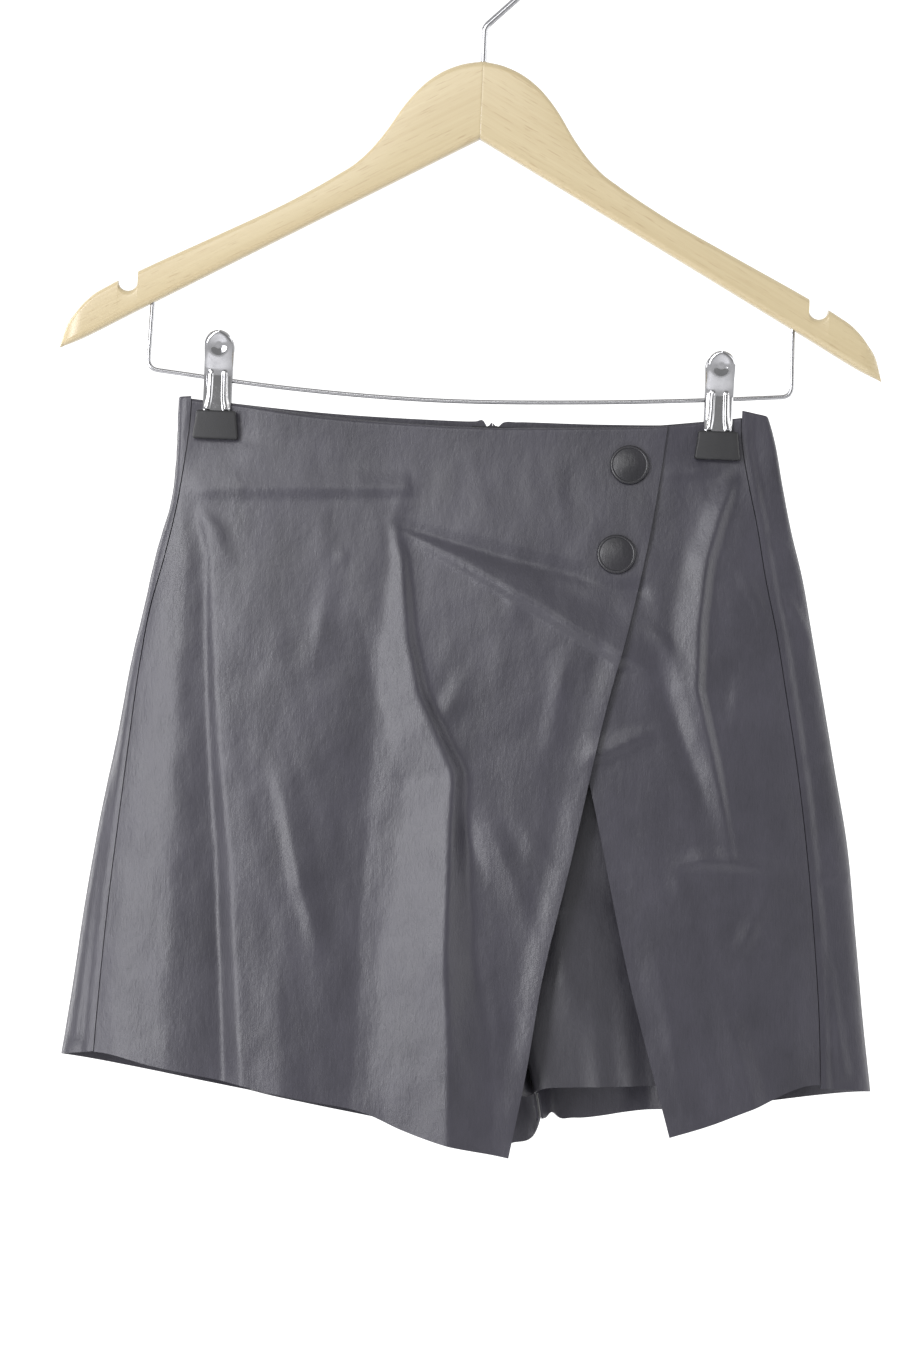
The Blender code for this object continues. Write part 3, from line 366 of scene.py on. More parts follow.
def sew_on(piece, node, slot, flat, area, rests_on):
    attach(piece, "garment")
    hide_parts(node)


class Shade:
    """A value on a material's wires. Arithmetic on it adds Math nodes, and node() any other node."""

    def __init__(self, tree, socket=None):
        self.tree = tree
        self.socket = socket

    def node(self, kind, settings=None, inputs=None, output=0):
        made = self.tree.nodes.new(kind)
        for key, value in (settings or {}).items():
            setattr(made, key, value)
        for key, value in (inputs or {}).items():
            if isinstance(value, Shade):
                self.tree.links.new(value.socket, made.inputs[key])
            else:
                made.inputs[key].default_value = value
        return Shade(self.tree, made.outputs[output])

    def math(self, operation, *values):
        return self.node("ShaderNodeMath", {"operation": operation}, dict(enumerate(values)))

    def __add__(self, other):
        return self.math("ADD", self, other)

    def __sub__(self, other):
        return self.math("SUBTRACT", self, other)

    def __rsub__(self, other):
        return self.math("SUBTRACT", other, self)

    def __mul__(self, other):
        return self.math("MULTIPLY", self, other)

    __radd__ = __add__
    __rmul__ = __mul__

    def clamped(self, low, high):
        """0 to 1 as the value goes from low to high."""
        return self.node("ShaderNodeMapRange", {}, {"Value": self, "From Min": low, "From Max": high})

    def noise(self, scale, stretch=(1, 1, 1), detail=3.0, roughness=0.5, turn=(0, 0, 0), shift=0.0):
        """Noise on Object coordinates, turned first: scale waves to a metre, longer along an axis
        whose stretch is below 1."""
        place = self.node("ShaderNodeTexCoord", output=3)
        place = self.node("ShaderNodeMapping", {}, {"Vector": place, "Rotation": turn})
        place = self.node("ShaderNodeMapping", {}, {"Vector": place, "Scale": stretch,
                                                    "Location": (shift, shift, shift)})
        return self.node("ShaderNodeTexNoise", {}, {"Vector": place, "Scale": scale, "Detail": detail,
                                                    "Roughness": roughness})

    def blend(self, dark, light):
        """The colour dark where the value is 0 and light where it is 1. Either may be a wire."""
        ends = [end if isinstance(end, Shade) else (*end, 1) for end in (dark, light)]
        return self.node("ShaderNodeMix", {"data_type": "RGBA"}, {0: self, 6: ends[0], 7: ends[1]}, output=2)

    def bump(self, distance, strength=1.0, below=None):
        """A Normal from the value as a height of distance metres, on top of another Normal."""
        inputs = {"Height": self, "Distance": distance, "Strength": strength}
        if below is not None:
            inputs["Normal"] = below
        return self.node("ShaderNodeBump", {}, inputs)


def new_finish(name, constants, wires):
    """A material: constants are set on the shader's sockets, and wires(shade) gives a dict of what
    changes over the surface."""
    made = bpy.data.materials.new(name)
    made.use_nodes = True
    tree = made.node_tree
    shader = tree.nodes["Principled BSDF"]
    for key, value in constants.items():
        shader.inputs[key].default_value = value
    for key, value in wires(Shade(tree)).items():
        tree.links.new(value.socket, shader.inputs[key])
    made.diffuse_color = constants.get("Base Color", (0.1, 0.1, 0.11, 1))
    return made


def coated_cloth(name, dark, light, roughness):
    """Polyurethane on knit: a fine vertical grain, faint clouds of colour and gloss, shallow pebbles
    and small handling wrinkles."""
    def wires(shade):
        grain = shade.noise(2600, (1, 1, 0.05), detail=2)
        pebble = shade.noise(1500, detail=2)
        clouds = shade.noise(38, (1, 1, 0.6), detail=4, roughness=0.6)
        wrinkles = shade.noise(95, (1, 1, 0.55), detail=4, roughness=0.62)
        tone = (0.55 * clouds + 0.30 * grain + 0.15 * pebble).clamped(0.36, 0.64)
        normal = wrinkles.bump(0.0008, 0.6)
        normal = (0.6 * grain + 0.4 * pebble).bump(0.00012, 0.8, below=normal)
        return {"Base Color": tone.blend(dark, light),
                "Roughness": roughness - 0.05 + 0.10 * clouds + 0.05 * grain,
                "Normal": normal}
    return new_finish(name, {"Specular IOR Level": 0.5}, wires)


shorts_cloth = coated_cloth("shorts_cloth", (0.017, 0.016, 0.021), (0.026, 0.025, 0.032), 0.44)
SHORTS_CUT = {-1: ((0.262, 0.372), 0.0690), 1: ((0.212, 0.372), 0.0556)}  # flat (w, l) and area

for side, word in ((-1, "left"), (1, "right")):
    front = add_wall(f"shorts_front_{word}_cloth", shorts_place(side), shorts_level,
                     np.linspace(0, 1, 82), np.linspace(0, 1, 130), -1, shorts_cloth)
    flat, area = SHORTS_CUT[side]
    sew_on(front, f"shorts_front_{word}", "shorts_cloth", flat, area, [f"back_{word}"])

# ------------------------------------------------------------------ shorts: the two backs
# The seats and backs of the legs, in the same coated cloth. Each is sewn to the front at the side
# seam, which lies on the front, wraps round the silhouette and meets the other at the centre back.
BACK_HEM_Z = -640.0
BACK_REACH_TOP = 150.0  # a back's side corners are set out this far from the middle
BACK_REACH_HEM = 206.0
BACK_DEEPEST = -2.6  # no hollow of a back goes deeper than this
BACK_TOP = ((-158, -254), (-126, -257), (-72, -261), (-38, -261.8), (-6, -261.6), (2, -261.2),
            (6.5, -264.4), (11, -262.0), (15, -264.2), (21, -261.8), (34, -261.2), (70, -260.6),
            (105, -258.6), (142, -252), (164, -247))
BACK_HEM = ((-207, -608), (-187, -611), (-41, -638), (20, -649), (36, -652), (43, -648), (48, -637),
            (56, -635.4), (65, -633.8), (68, -636.4), (74, -636.2), (84, -634.1), (90, -632.3),
            (117, -628.5), (200, -612), (231, -613))
BACK_FOLDS = (
    Fold(-128, -290, -70, -350, 12, 1.8),
    Fold(124, -290, 72, -356, 12, 2.0),
    Fold(-112, -370, -124, -600, 18, 4.0),
    Fold(-46, -400, -40, -620, 22, 3.4),
    Fold(-80, -430, -86, -615, 12, -2.4),
    Fold(96, -390, 104, -560, 18, 3.6),
    Fold(150, -410, 168, -600, 16, 3.4),
    Fold(128, -450, 138, -610, 12, -2.2),
)
BACK_CREASES = (
    ((-40, -326, 6, 3, 0.5), (-84, -312, 9, 3, 1.4), (-124, -290, 8, 3, 1.0)),  # drags from the clips
    ((44, -330, 3, 6, 0.5), (88, -314, 3, 9, 1.4), (120, -290, 3, 8, 1.0)),
    ((-106, -640, 26, 10, 4.4), (-102, -560, 22, 8, 3.6), (-96, -480, 16, 6, 2.4), (-84, -400, 9, 4, 1.0)),
    ((-16, -640, 10, 24, 3.0), (-14, -540, 9, 22, 2.6), (-8, -450, 6, 16, 1.8), (-2, -370, 4, 10, 0.8)),
    ((112, -640, 12, 24, 4.2), (108, -560, 9, 22, 3.4), (98, -470, 7, 16, 2.2), (88, -390, 4, 10, 0.8)),
    ((168, -610, 8, 14, 2.4), (160, -520, 6, 12, 1.6), (150, -440, 4, 8, 0.6)),
    ((-158, -600, 10, 10, -2.2), (-152, -500, 8, 8, -1.6), (-140, -400, 6, 5, -0.8)),
    ((60, -600, 7, 12, -2.0), (54, -520, 6, 10, -1.6), (48, -430, 4, 6, -0.6)),
    ((-70, -520, 4, 3, 0.9), (-48, -512, 4, 3, 1.1), (-22, -518, 3, 3, 0.4)),  # sitting creases
    ((66, -506, 3, 4, 0.5), (92, -498, 3, 4, 1.1), (122, -504, 3, 4, 0.6)),
    ((-120, -450, 3, 4, 0.8), (-98, -424, 3, 4, 1.0), (-88, -410, 3, 3, 0.3)),
    ((130, -452, 4, 3, 0.8), (114, -428, 4, 3, 0.9), (106, -412, 3, 3, 0.3)),
)
# On the strips of the backs that show from the front, beside the side seams.
STRIP_CREASES = (
    ((163, -319, 4, 3, 0.7), (176, -326, 4, 3, 0.5)),
    ((189, -374, 4, 3, 0.9), (173, -350, 4, 3, 0.6)),
    ((192, -501, 3, 4, 0.9), (214, -495, 3, 4, 0.9)),
    ((214, -604, 5, 4, 1.1), (204, -554, 4, 4, 0.8), (195, -511, 3, 3, 0.4)),
    ((181, -440, 3, 4, 0.6), (200, -428, 3, 4, 0.7)),
    ((-197, -600, 4, 4, 0.8), (-190, -520, 4, 4, 0.6), (-184, -470, 3, 3, 0.2)),
)


def back_place(side):
    """A back panel: equal steps along the superellipse from the side seam on the front, round the
    silhouette and across the back, then leg_curve to the centre seam or the inseam."""
    column = "left_seam" if side < 0 else "right_seam"
    flat = 0.80  # share of the columns before the inner leg begins
    typical_reach, typical_depth = 200, 16  # of the loop, for the length of its steps
    hem_turn = centre_x(BACK_HEM_Z) + side * (INNER_LEG_RADIUS + WALL) + LEG_SLANT
    turns = np.linspace(0, math.pi, 200)
    steps = np.hypot(np.diff(typical_reach * signed_power(np.cos(turns), 2 / BLUNT)),
                     np.diff(typical_depth * np.sin(turns) ** (2 / BLUNT)))
    walked = np.concatenate([[0], np.cumsum(steps)])

    def turn_at(x, z):
        """The angle round the loop, from the silhouette, of a place x on it."""
        middle, reach = middle_and_reach(z)
        q = np.clip(side * (x - middle) / reach, -1, 1)
        return np.arccos(signed_power(q, BLUNT / 2))

    def signed_walk(turn):
        return np.sign(turn) * np.interp(np.abs(turn), turns, walked)

    def place(u, v):
        top_x = side * BACK_REACH_TOP + (centre_x(WAIST_Z) - side * BACK_REACH_TOP) * u
        hem_x = np.interp(u, [0, flat, 1], [side * BACK_REACH_HEM, hem_turn, centre_x(BACK_HEM_Z)])
        top = height_over(BACK_TOP, top_x)
        z = top + (height_over(BACK_HEM, hem_x) - top) * v
        share = leg_share(z)
        k = np.clip((u - flat) / (1 - flat), 0, 1)
        inner_x, depth_share = leg_curve(side, 1, k, z, share)
        seam_turn = -turn_at(at_height(SECTIONS, column, z) + side * GAP, z)
        inner_turn = turn_at(leg_curve(side, 1, 0 * k, z, share)[0], z)
        start, end = signed_walk(seam_turn), signed_walk(inner_turn)
        here = start + (end - start) * np.clip(u / flat, 0, 1)
        turn = np.sign(here) * np.interp(np.abs(here), walked, turns)
        middle, reach = middle_and_reach(z)
        loop_x = middle + side * reach * signed_power(np.cos(turn), 2 / BLUNT)
        x = np.where(u < flat, loop_x, inner_x)
        depth = np.where(turn < 0, at_height(SECTIONS, "front_depth", z),
                         at_height(SECTIONS, "back_depth", z))
        loop_y = depth * signed_power(np.sin(turn), 2 / BLUNT) * (1 - pressed(x, z))
        inner_y = core_depth(x, z, "back_depth") * depth_share + GAP / 2 * share
        return np.stack([x, np.where(u >= flat, inner_y, loop_y), z])
    return place


def below_jaws(z):
    """0 down to the clips' jaws and 1 from 30 mm under them."""
    return smoothstep(JAW_Z, JAW_Z - 30, z)


def back_level(side):
    """The back's folds and creases, the rise that brings its edge level with the skirt panel at the
    side seam, and the creases of the strips beside the side seams. The fine creases fade out beside the zip."""
    column = "left_seam" if side < 0 else "right_seam"

    def level(x, y, z):
        seam_x = at_height(SECTIONS, column, z)
        from_seam = np.hypot(x - seam_x, y + core_depth(seam_x, z, "front_depth"))
        rise = (WALL + GAP) * smoothstep(8, 2.5, from_seam) * smoothstep(1.5, -0.5, y)
        on_back = smoothstep(0, 6, y) * below_jaws(z)
        off_zip = smoothstep(9, 21, np.abs(x - centre_x(z)))
        folds = fold_relief(BACK_FOLDS, x, z) * on_back
        fine = (crease_relief(BACK_CREASES, x, z) + unevenness(x, z, 3, 0.35)) * on_back * off_zip
        strip = crease_relief(STRIP_CREASES, x, z) * smoothstep(-0.5, -3, y) * smoothstep(3, 9, from_seam)
        return rise + np.maximum(folds + np.maximum(fine, -2.0), BACK_DEEPEST) + strip
    return level


skirt_cloth = coated_cloth("coated_cloth", (0.022, 0.021, 0.028), (0.034, 0.032, 0.043), 0.38)
BACK_CUT = {-1: ((0.300, 0.395), 0.0813), 1: ((0.280, 0.395), 0.0748)}
SIDE_FINE = np.concatenate([np.linspace(0, 0.12, 24), np.linspace(0.128, 1, 92)])
TURNED_TOP = np.concatenate([[0, 0.0006, 0.0016, 0.003, 0.005, 0.0075], np.linspace(0.011, 1, 150)])

for side, word in ((-1, "left"), (1, "right")):
    back = add_wall(f"back_{word}_cloth", back_place(side), back_level(side), SIDE_FINE, TURNED_TOP, 1,
                    skirt_cloth, turned=1.6)
    flat, area = BACK_CUT[side]
    sew_on(back, f"back_{word}", "coated_cloth", flat, area,
           ["clip_left_rear_boot", "clip_right_rear_boot"])

# ------------------------------------------------------------------ skirt: the under panel
# The right half of the wrap. It is sewn into the right side seam and the waist, hangs clear of the
# shorts, and its cut free edge makes one side of the gap below the buttons.
UNDER_EDGE = ((19, -265.5), (73, -462), (97, -560), (121, -640))
UNDER_HEM = ((121, -640), (142, -633), (164, -624), (199.5, -610))
BUTTONS = (("button_upper", 85.7, -282.5), ("button_lower", 80.4, -330.8))
BUTTON_RADIUS = 10.5

# How far the skirt panels hang clear of the shorts' fronts, halfway between the side seams.
Hang = namedtuple("Hang", "z clearance")
HANG = (Hang(-246, 0), Hang(-275, 0.6), Hang(-330, 3.0), Hang(-420, 6.5), Hang(-520, 9.0),
        Hang(-660, 11.5))

# The creases of both skirt panels, upwards or from left to right.
SKIRT_CREASES = (
    # the line pressed across the hip, and the pull from the left clip
    ((-144, -305.5, 14, 3.5, 1.2), (-90, -303, 14, 3.5, 1.4), (-33, -300.5, 10, 3.5, 1.2),
     (-30, -300, 5, 3, 0.4)),
    ((-39, -317, 5, 5, 0), (-36, -309, 5, 5, 0.6), (-33, -301, 5, 5, 0)),
    ((-147, -283, 7, 14, 0), (-122, -281, 7, 17, 1.2), (-74, -288, 9, 14, 0)),
    # the main break, from the end of the pressed line down to the step in the hem
    ((4, -656, 34, 26, 8.6), (2, -599, 34, 21, 10), (-2, -546, 33, 14, 10.8), (-2, -492, 30, 9, 9.8),
     (-2, -452, 26, 6.5, 7.8), (-15, -424, 23, 5, 6.2), (-22, -410, 19, 4.5, 5.2), (-29, -381, 14, 4, 4),
     (-34, -339, 5, 3.5, 2.2), (-40, -318, 3, 3, 0.6)),
    ((-50, -640, 27, 14, -1.3), (-47, -574, 27, 14, -1.4), (-48, -521, 27, 14, -1.6),
     (-46, -467, 25, 12, -1.6), (-45, -414, 18, 10, -1.1), (-52, -382, 13, 8, -0.6), (-60, -361, 9, 7, 0)),
    # the long trough near the left side
    ((-117, -628, 28, 9, -4.8), (-123, -551, 26, 8, -4.4), (-127, -497, 22, 7, -3.7),
     (-133, -444, 17, 5.5, -2.8), (-137, -391, 12, 4, -2.1), (-140, -343, 8, 3.5, -1.5),
     (-147, -316, 4, 3, -0.5)),
    ((-124, -346, 7, 5, 0), (-134, -327, 7, 5, 1.4), (-148, -313, 7, 5, 0)),
    # smaller breaks between them
    ((-79, -405, 9, 10, 0), (-75, -372, 7, 8, 1.2), (-71, -340, 5, 7, 0)),
    ((-66, -345, 4, 4, 0), (-66, -338, 4, 4, 0.8), (-66, -332, 4, 4, 0)),
    ((-68, -553, 5, 8, 0), (-74, -532, 5, 9, 1.4), (-81, -512, 5, 10, 1.6), (-91, -469, 5, 10, 1.2),
     (-100, -440, 5, 8, 0)),
    ((-10, -433, 7, 8, 0), (-4, -413, 7, 8, 1.4), (2, -393, 6, 7, 0)),
    ((17, -512, 9, 5, 0), (9, -486, 9, 5, -1.7), (1, -462, 9, 5, 0)),
    ((52, -552, 11, 7, 0), (25, -491, 11, 7, 1.4), (10, -462, 9, 7, 0)),
    ((47, -449, 6, 7, 0), (53, -404, 6, 7, 1.1), (58, -376, 6, 7, 0)),
    ((24, -464, 5, 7, 0), (43, -486, 5, 7, 0.7), (62, -508, 5, 7, 0)),
    ((30, -640, 14, 10, 1.2), (26, -580, 14, 10, 1.4), (18, -530, 11, 8, 0)),
    ((-84, -640, 18, 15, 1.7), (-88, -590, 16, 14, 1.2), (-92, -540, 13, 10, 0)),
    # the drag from the main break to the lower button: a trough over a wedge that faces up
    ((-38, -320, 2, 3, -0.6), (-9, -327, 3, 5, -1.5), (29, -336, 4, 6, -1.7), (72, -345, 5, 6, -1.5),
     (94, -350, 5, 6, -1.2)),
    ((-37, -322, 3, 2.5, 0.8), (3, -342, 9, 3.5, 2.5), (41, -362, 15, 4, 3.3), (84, -386, 19, 5, 3.2)),
    # under the right clip, and the fall from it
    ((97, -286, 16, 5, 0), (123, -283.5, 16, 5, 1.6), (144, -279, 11, 5, 0)),
    ((148, -490, 6, 3, 0.6), (136, -438, 11, 3.5, 3), (126, -401, 13, 3.5, 4.3), (126, -364, 13, 4, 4.6),
     (129, -332, 11, 4, 4), (136, -305, 8, 4, 2.8), (147, -278, 4, 3, 1)),
    ((146, -487, 7, 7, 0), (124, -439, 7, 7, -1.2), (110, -407, 9, 7, -1.4), (103, -376, 7, 7, 0)),
    ((86, -362, 7, 8, 0), (106, -376, 5, 8, 1.4), (120, -397, 5, 7, 0)),
    ((77, -439, 10, 2.4, 1.5), (92, -431, 7, 2.4, 1.6), (107, -424, 3, 2.4, 0.2)),
    ((116, -498, 6, 3, 0.3), (132, -493, 7, 3, 1.7), (148, -493, 7, 3, 1.9), (178, -496, 6, 3, 0.3)),
    ((122, -516, 5, 5, 0), (120, -506, 5, 5, 1), (117, -497, 5, 5, 0)),
    ((143, -559, 9, 5, 0), (158, -534, 7, 5, 1.4), (172, -501, 7, 5, 0)),
    ((165, -622, 11, 8, 1.7), (152, -582, 9, 8, 1.4), (141, -558, 7, 7, 0)),
    ((147, -424, 5, 7, 0), (148, -407, 5, 7, 1), (149, -390, 5, 7, 0)),
    ((166, -375, 5, 8, 0), (158, -352, 5, 7, 1.2), (138, -326, 5, 7, 0)),
    ((128, -628, 13, 10, 1.1), (116, -570, 11, 8, 1), (104, -520, 9, 7, 0)),
)


def along(points):
    """An edge as a function of the share of its length, from 0 to 1, giving x and z."""
    points = np.asarray(points, float)
    walked = np.concatenate([[0], np.cumsum(np.hypot(*np.diff(points, axis=0).T))])
    share = walked / walked[-1]
    return lambda t: np.stack([through(share, points[:, 0], t), through(share, points[:, 1], t)])


def part_of(points, start, end):
    """The stretch of an edge between two places in x, as an edge of its own."""
    inside = [p for p in points if start < p[0] < end]
    first = (start, float(height_over(points, start)))
    last = (end, float(height_over(points, end)))
    return along([first, *inside, last])


def seam_edge(column, shift, top, bottom):
    """A side seam as an edge, from the height top to the height bottom."""
    def edge(v):
        z = top + (bottom - top) * v
        return np.stack([at_height(SECTIONS, column, z) + shift, z])
    return edge


def on_front(x, z):
    return np.stack([x, -core_depth(x, z, "front_depth"), z])


def patch(left, right, top, bottom):
    """A panel between four edges: the two ruled surfaces less the one through the corners."""
    def place(u, v):
        ruled = (1 - u) * left(v) + u * right(v) + (1 - v) * top(u) + v * bottom(u)
        corners = ((1 - u) * (1 - v) * left(np.zeros_like(v)) + (1 - u) * v * left(np.ones_like(v))
                   + u * (1 - v) * right(np.zeros_like(v)) + u * v * right(np.ones_like(v)))
        x, z = ruled - corners
        return on_front(x, z)
    return place


def clearance(x, z):
    """How far the skirt panels hang in front of the shorts' fronts, besides GAP."""
    left, right = at_height(SECTIONS, "left_seam", z), at_height(SECTIONS, "right_seam", z)
    across = np.clip(2 * (x - left) / (right - left) - 1, -1, 1)
    return at_height(HANG, "clearance", z) * (1 - across**4)


def off_fixings(x, z):
    """1 on the free cloth and 0 at the side seams, in the jaws and under the buttons."""
    free = off_seams(x, z, 12) * smoothstep(JAW_Z - 4, JAW_Z - 18, z)
    for _, button_x, button_z in BUTTONS:
        away = np.hypot(x - button_x, z - button_z)
        free = free * smoothstep(1.2 * BUTTON_RADIUS, 2.2 * BUTTON_RADIUS, away)
    return free


def under_level(x, y, z):
    """GAP outside the shorts, then the clearance and the creases, never deeper than the room."""
    creases = (crease_relief(SKIRT_CREASES, x, z) + unevenness(x, z, 11, 0.4)) * off_fixings(x, z)
    return WALL + GAP + clearance(x, z) + np.maximum(creases, -0.8 * clearance(x, z))


UNDER_CUT = ((0.182, 0.386), 0.0405)
under_right = seam_edge("right_seam", -GAP / 2, -254.0, UNDER_HEM[-1][1])
under_place = patch(along(UNDER_EDGE), under_right,
                    part_of(FRONT_TOP, UNDER_EDGE[0][0], float(under_right(0.0)[0])),
                    part_of(UNDER_HEM, UNDER_EDGE[-1][0], float(under_right(1.0)[0])))
under = add_wall("under_panel_cloth", under_place, under_level, np.linspace(0, 1, 76), TURNED_TOP, -1,
                 skirt_cloth, turned=1.6)
sew_on(under, "under_panel", "coated_cloth", *UNDER_CUT,
       ["shorts_front_right", "clip_right_front_boot"])

# ------------------------------------------------------------------ skirt: the over panel
# The left half of the wrap lies over the under panel and closes on it with the two snap caps. Its
# free edge slants from the right of the waist to the lowest point of the hem.
OVER_EDGE = ((105.2, -260.5), (100, -307), (89, -368), (79, -410), (62, -499),
             (50, -559), (43.5, -609), (36, -654))
OVER_HEM = ((-186.6, -608.5), (-156, -614), (-119, -620), (-74, -628), (-41, -633.5),
            (-22, -641), (-4, -646.5), (36, -654))
EDGE_LIFT = 1.6  # the free edge curls off the panel under it below the lower button


def over_level(x, y, z):
    """The under panel's level, raised by a wall and a little ease where the two overlap."""
    edge = place_on(UNDER_EDGE, z)
    lies_on_it = smoothstep(edge - 75, edge - 12, x)
    ease = 1.4 * smoothstep(-268, -320, z)
    free_edge = place_on(OVER_EDGE, z)
    curl = EDGE_LIFT * smoothstep(free_edge - 14, free_edge, x) * smoothstep(-352, -395, z)
    return under_level(x, y, z) + (WALL + GAP + ease) * lies_on_it + curl


OVER_CUT = ((0.292, 0.402), 0.0911)
over_left = seam_edge("left_seam", GAP / 2, -256.5, OVER_HEM[0][1])
over_place = patch(over_left, along(OVER_EDGE),
                   part_of(FRONT_TOP, float(over_left(0.0)[0]), OVER_EDGE[0][0]),
                   part_of(OVER_HEM, float(over_left(1.0)[0]), OVER_EDGE[-1][0]))
over = add_wall("over_panel_cloth", over_place, over_level, np.linspace(0, 1, 140), TURNED_TOP, -1,
                skirt_cloth, turned=1.6)
sew_on(over, "over_panel", "coated_cloth", *OVER_CUT, ["under_panel", "clip_left_front_boot"])

# ------------------------------------------------------------------ skirt: the covered snap caps
# Two snap caps hold the over panel's free edge near the waist. Each is a metal dome covered with
# coated cloth, pulled tight, so that its rolled rim shows as a fine ring round a low crown.
CAP_RIM = 1.05  # radius of the roll
CAP_CROWN_EDGE = 8.7  # where the crown meets the groove inside the roll
CAP_CROWN = 2.1  # height of the crown's edge
CAP_DOME = 0.9  # and how much higher its middle is
CAP_GROOVE = (0.22, 1.86)  # how far outside the crown's edge it lies, and its height
CAP_SIDES = 64


def add_rings(name, points, finish, sharp=40):
    """Closed bodies from points[3, bodies, rings, sides]: on each body a ring is joined to the next
    with quads, and the first and last are closed by a face. All faces are then turned outwards."""
    _, bodies, rings, sides = points.shape
    body, ring, side = np.meshgrid(np.arange(bodies) * rings * sides, np.arange(rings - 1) * sides,
                                   np.arange(sides), indexing="ij")
    here, ahead = body + ring + side, body + ring + (side + 1) % sides
    quads = np.stack([here, ahead, ahead + sides, here + sides], axis=-1).reshape(-1, 4).tolist()
    starts = np.arange(bodies)[:, None] * rings * sides + np.arange(sides)
    caps = starts.tolist() + (starts + (rings - 1) * sides).tolist()
    piece = add_mesh(name, points.reshape(3, -1).T, quads + caps, finish, sharp)
    outwards = bmesh.new()
    outwards.from_mesh(piece.data)
    bmesh.ops.recalc_face_normals(outwards, faces=outwards.faces)
    outwards.to_mesh(piece.data)
    outwards.free()
    return piece


def fix_on(piece, slot, *nodes):
    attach(piece, "garment")
    if nodes:
        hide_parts(*nodes)


def over_surface(x, z):
    """A point on the over panel's outer side."""
    x, z = np.asarray(x, float), np.asarray(z, float)
    return on_front(x, z) - np.stack([0 * x, over_level(x, 0, z) + WALL, 0 * x])


def cap_points(x, z):
    """A cap turned about the cloth's normal: up the roll, a circle of CAP_RIM, down into the groove,
    and over the crown, CAP_CROWN + CAP_DOME * (1 - (radius / CAP_CROWN_EDGE)^2)."""
    across = over_surface(x + 4, z) - over_surface(x - 4, z)
    across /= np.linalg.norm(across)
    up = over_surface(x, z + 4) - over_surface(x, z - 4)
    out = np.cross(across, up / np.linalg.norm(up))
    up = np.cross(out, across)
    turn = np.linspace(-1.9, 1.75, 16)
    crown = CAP_CROWN_EDGE * np.sin(np.linspace(math.pi / 2, 0.004, 18))
    middle = BUTTON_RADIUS - CAP_RIM
    radius = np.concatenate([middle + CAP_RIM * np.cos(turn), [CAP_CROWN_EDGE + CAP_GROOVE[0]], crown])
    height = np.concatenate([CAP_RIM + CAP_RIM * np.sin(turn), [CAP_GROOVE[1]],
                             CAP_CROWN + CAP_DOME * (1 - (crown / CAP_CROWN_EDGE) ** 2)])
    round_it = 2 * math.pi * np.arange(CAP_SIDES) / CAP_SIDES
    centre = over_surface(x, z) + 2 * GAP * out
    flat = radius[:, None] * np.stack([np.cos(round_it), np.sin(round_it)])[:, None]
    return (centre[:, None, None] + across[:, None, None] * flat[0] + up[:, None, None] * flat[1]
            + out[:, None, None] * height[:, None])[:, None]


cap_cloth = coated_cloth("button_cover", (0.007, 0.007, 0.009), (0.013, 0.012, 0.016), 0.34)
for name, x, z in BUTTONS:
    cap = add_rings(f"{name}_cap", cap_points(x, z), cap_cloth, sharp=60)
    fix_on(cap, "button_cover", name)

# ------------------------------------------------------------------ zip
# A closed concealed zip in the centre back seam: a black woven tape behind the two backs, with a row
# of nylon coil on each half of its inner side, sewn down, and a painted slider whose pull hangs free.
ZIP_BOTTOM_Z = -440.0
ZIP_BELOW_TOP = 2.0  # the tape ends this far under the waist edge, which dips on each side of it
ZIP_TAPE_WIDTH = 22.0
ZIP_TAPE_THICKNESS = 1.0
COIL_TOP_Z = -268.0
COIL_PITCH = 1.3
COIL_WIRE = 0.5
COIL_REACH = 1.5  # how far each row reaches past the middle, on its own side
COIL_HEIGHT = 0.8


def zip_place(u, v):
    """The tape: a strip ZIP_TAPE_WIDTH wide down the centre back of the tube."""
    top = height_over(BACK_TOP, centre_x(WAIST_Z)) - ZIP_BELOW_TOP
    z = top + (ZIP_BOTTOM_Z - top) * v
    x = centre_x(z) + ZIP_TAPE_WIDTH * (u - 0.5)
    return np.stack([x, core_depth(x, z, "back_depth"), z])


def zip_level(x, y, z):
    """GAP inside the backs, whose large folds it follows."""
    folds = fold_relief(BACK_FOLDS, x, z) * below_jaws(z)
    return np.maximum(folds, BACK_DEEPEST) - GAP - ZIP_TAPE_THICKNESS


def carried(path, across, away, facing=(0, 1, 0)):
    """A profile carried along paths[3, bodies, rings]: path + across * side + away * up, where side is
    square to the path and to facing, and up is square to the path and to side."""
    ahead = np.gradient(path, axis=-1)
    ahead /= np.linalg.norm(ahead, axis=0)
    side = np.cross(ahead, np.reshape(np.array(facing, float), (3, 1, 1)), axis=0)
    side /= np.linalg.norm(side, axis=0)
    up = np.cross(side, ahead, axis=0)
    return path[..., None] + side[..., None] * across + up[..., None] * away


def round_profile(radius, sides):
    """A circle of radius, as its two coordinates."""
    turn = 2 * math.pi * np.arange(sides) / sides
    return radius * np.cos(turn), radius * np.sin(turn)


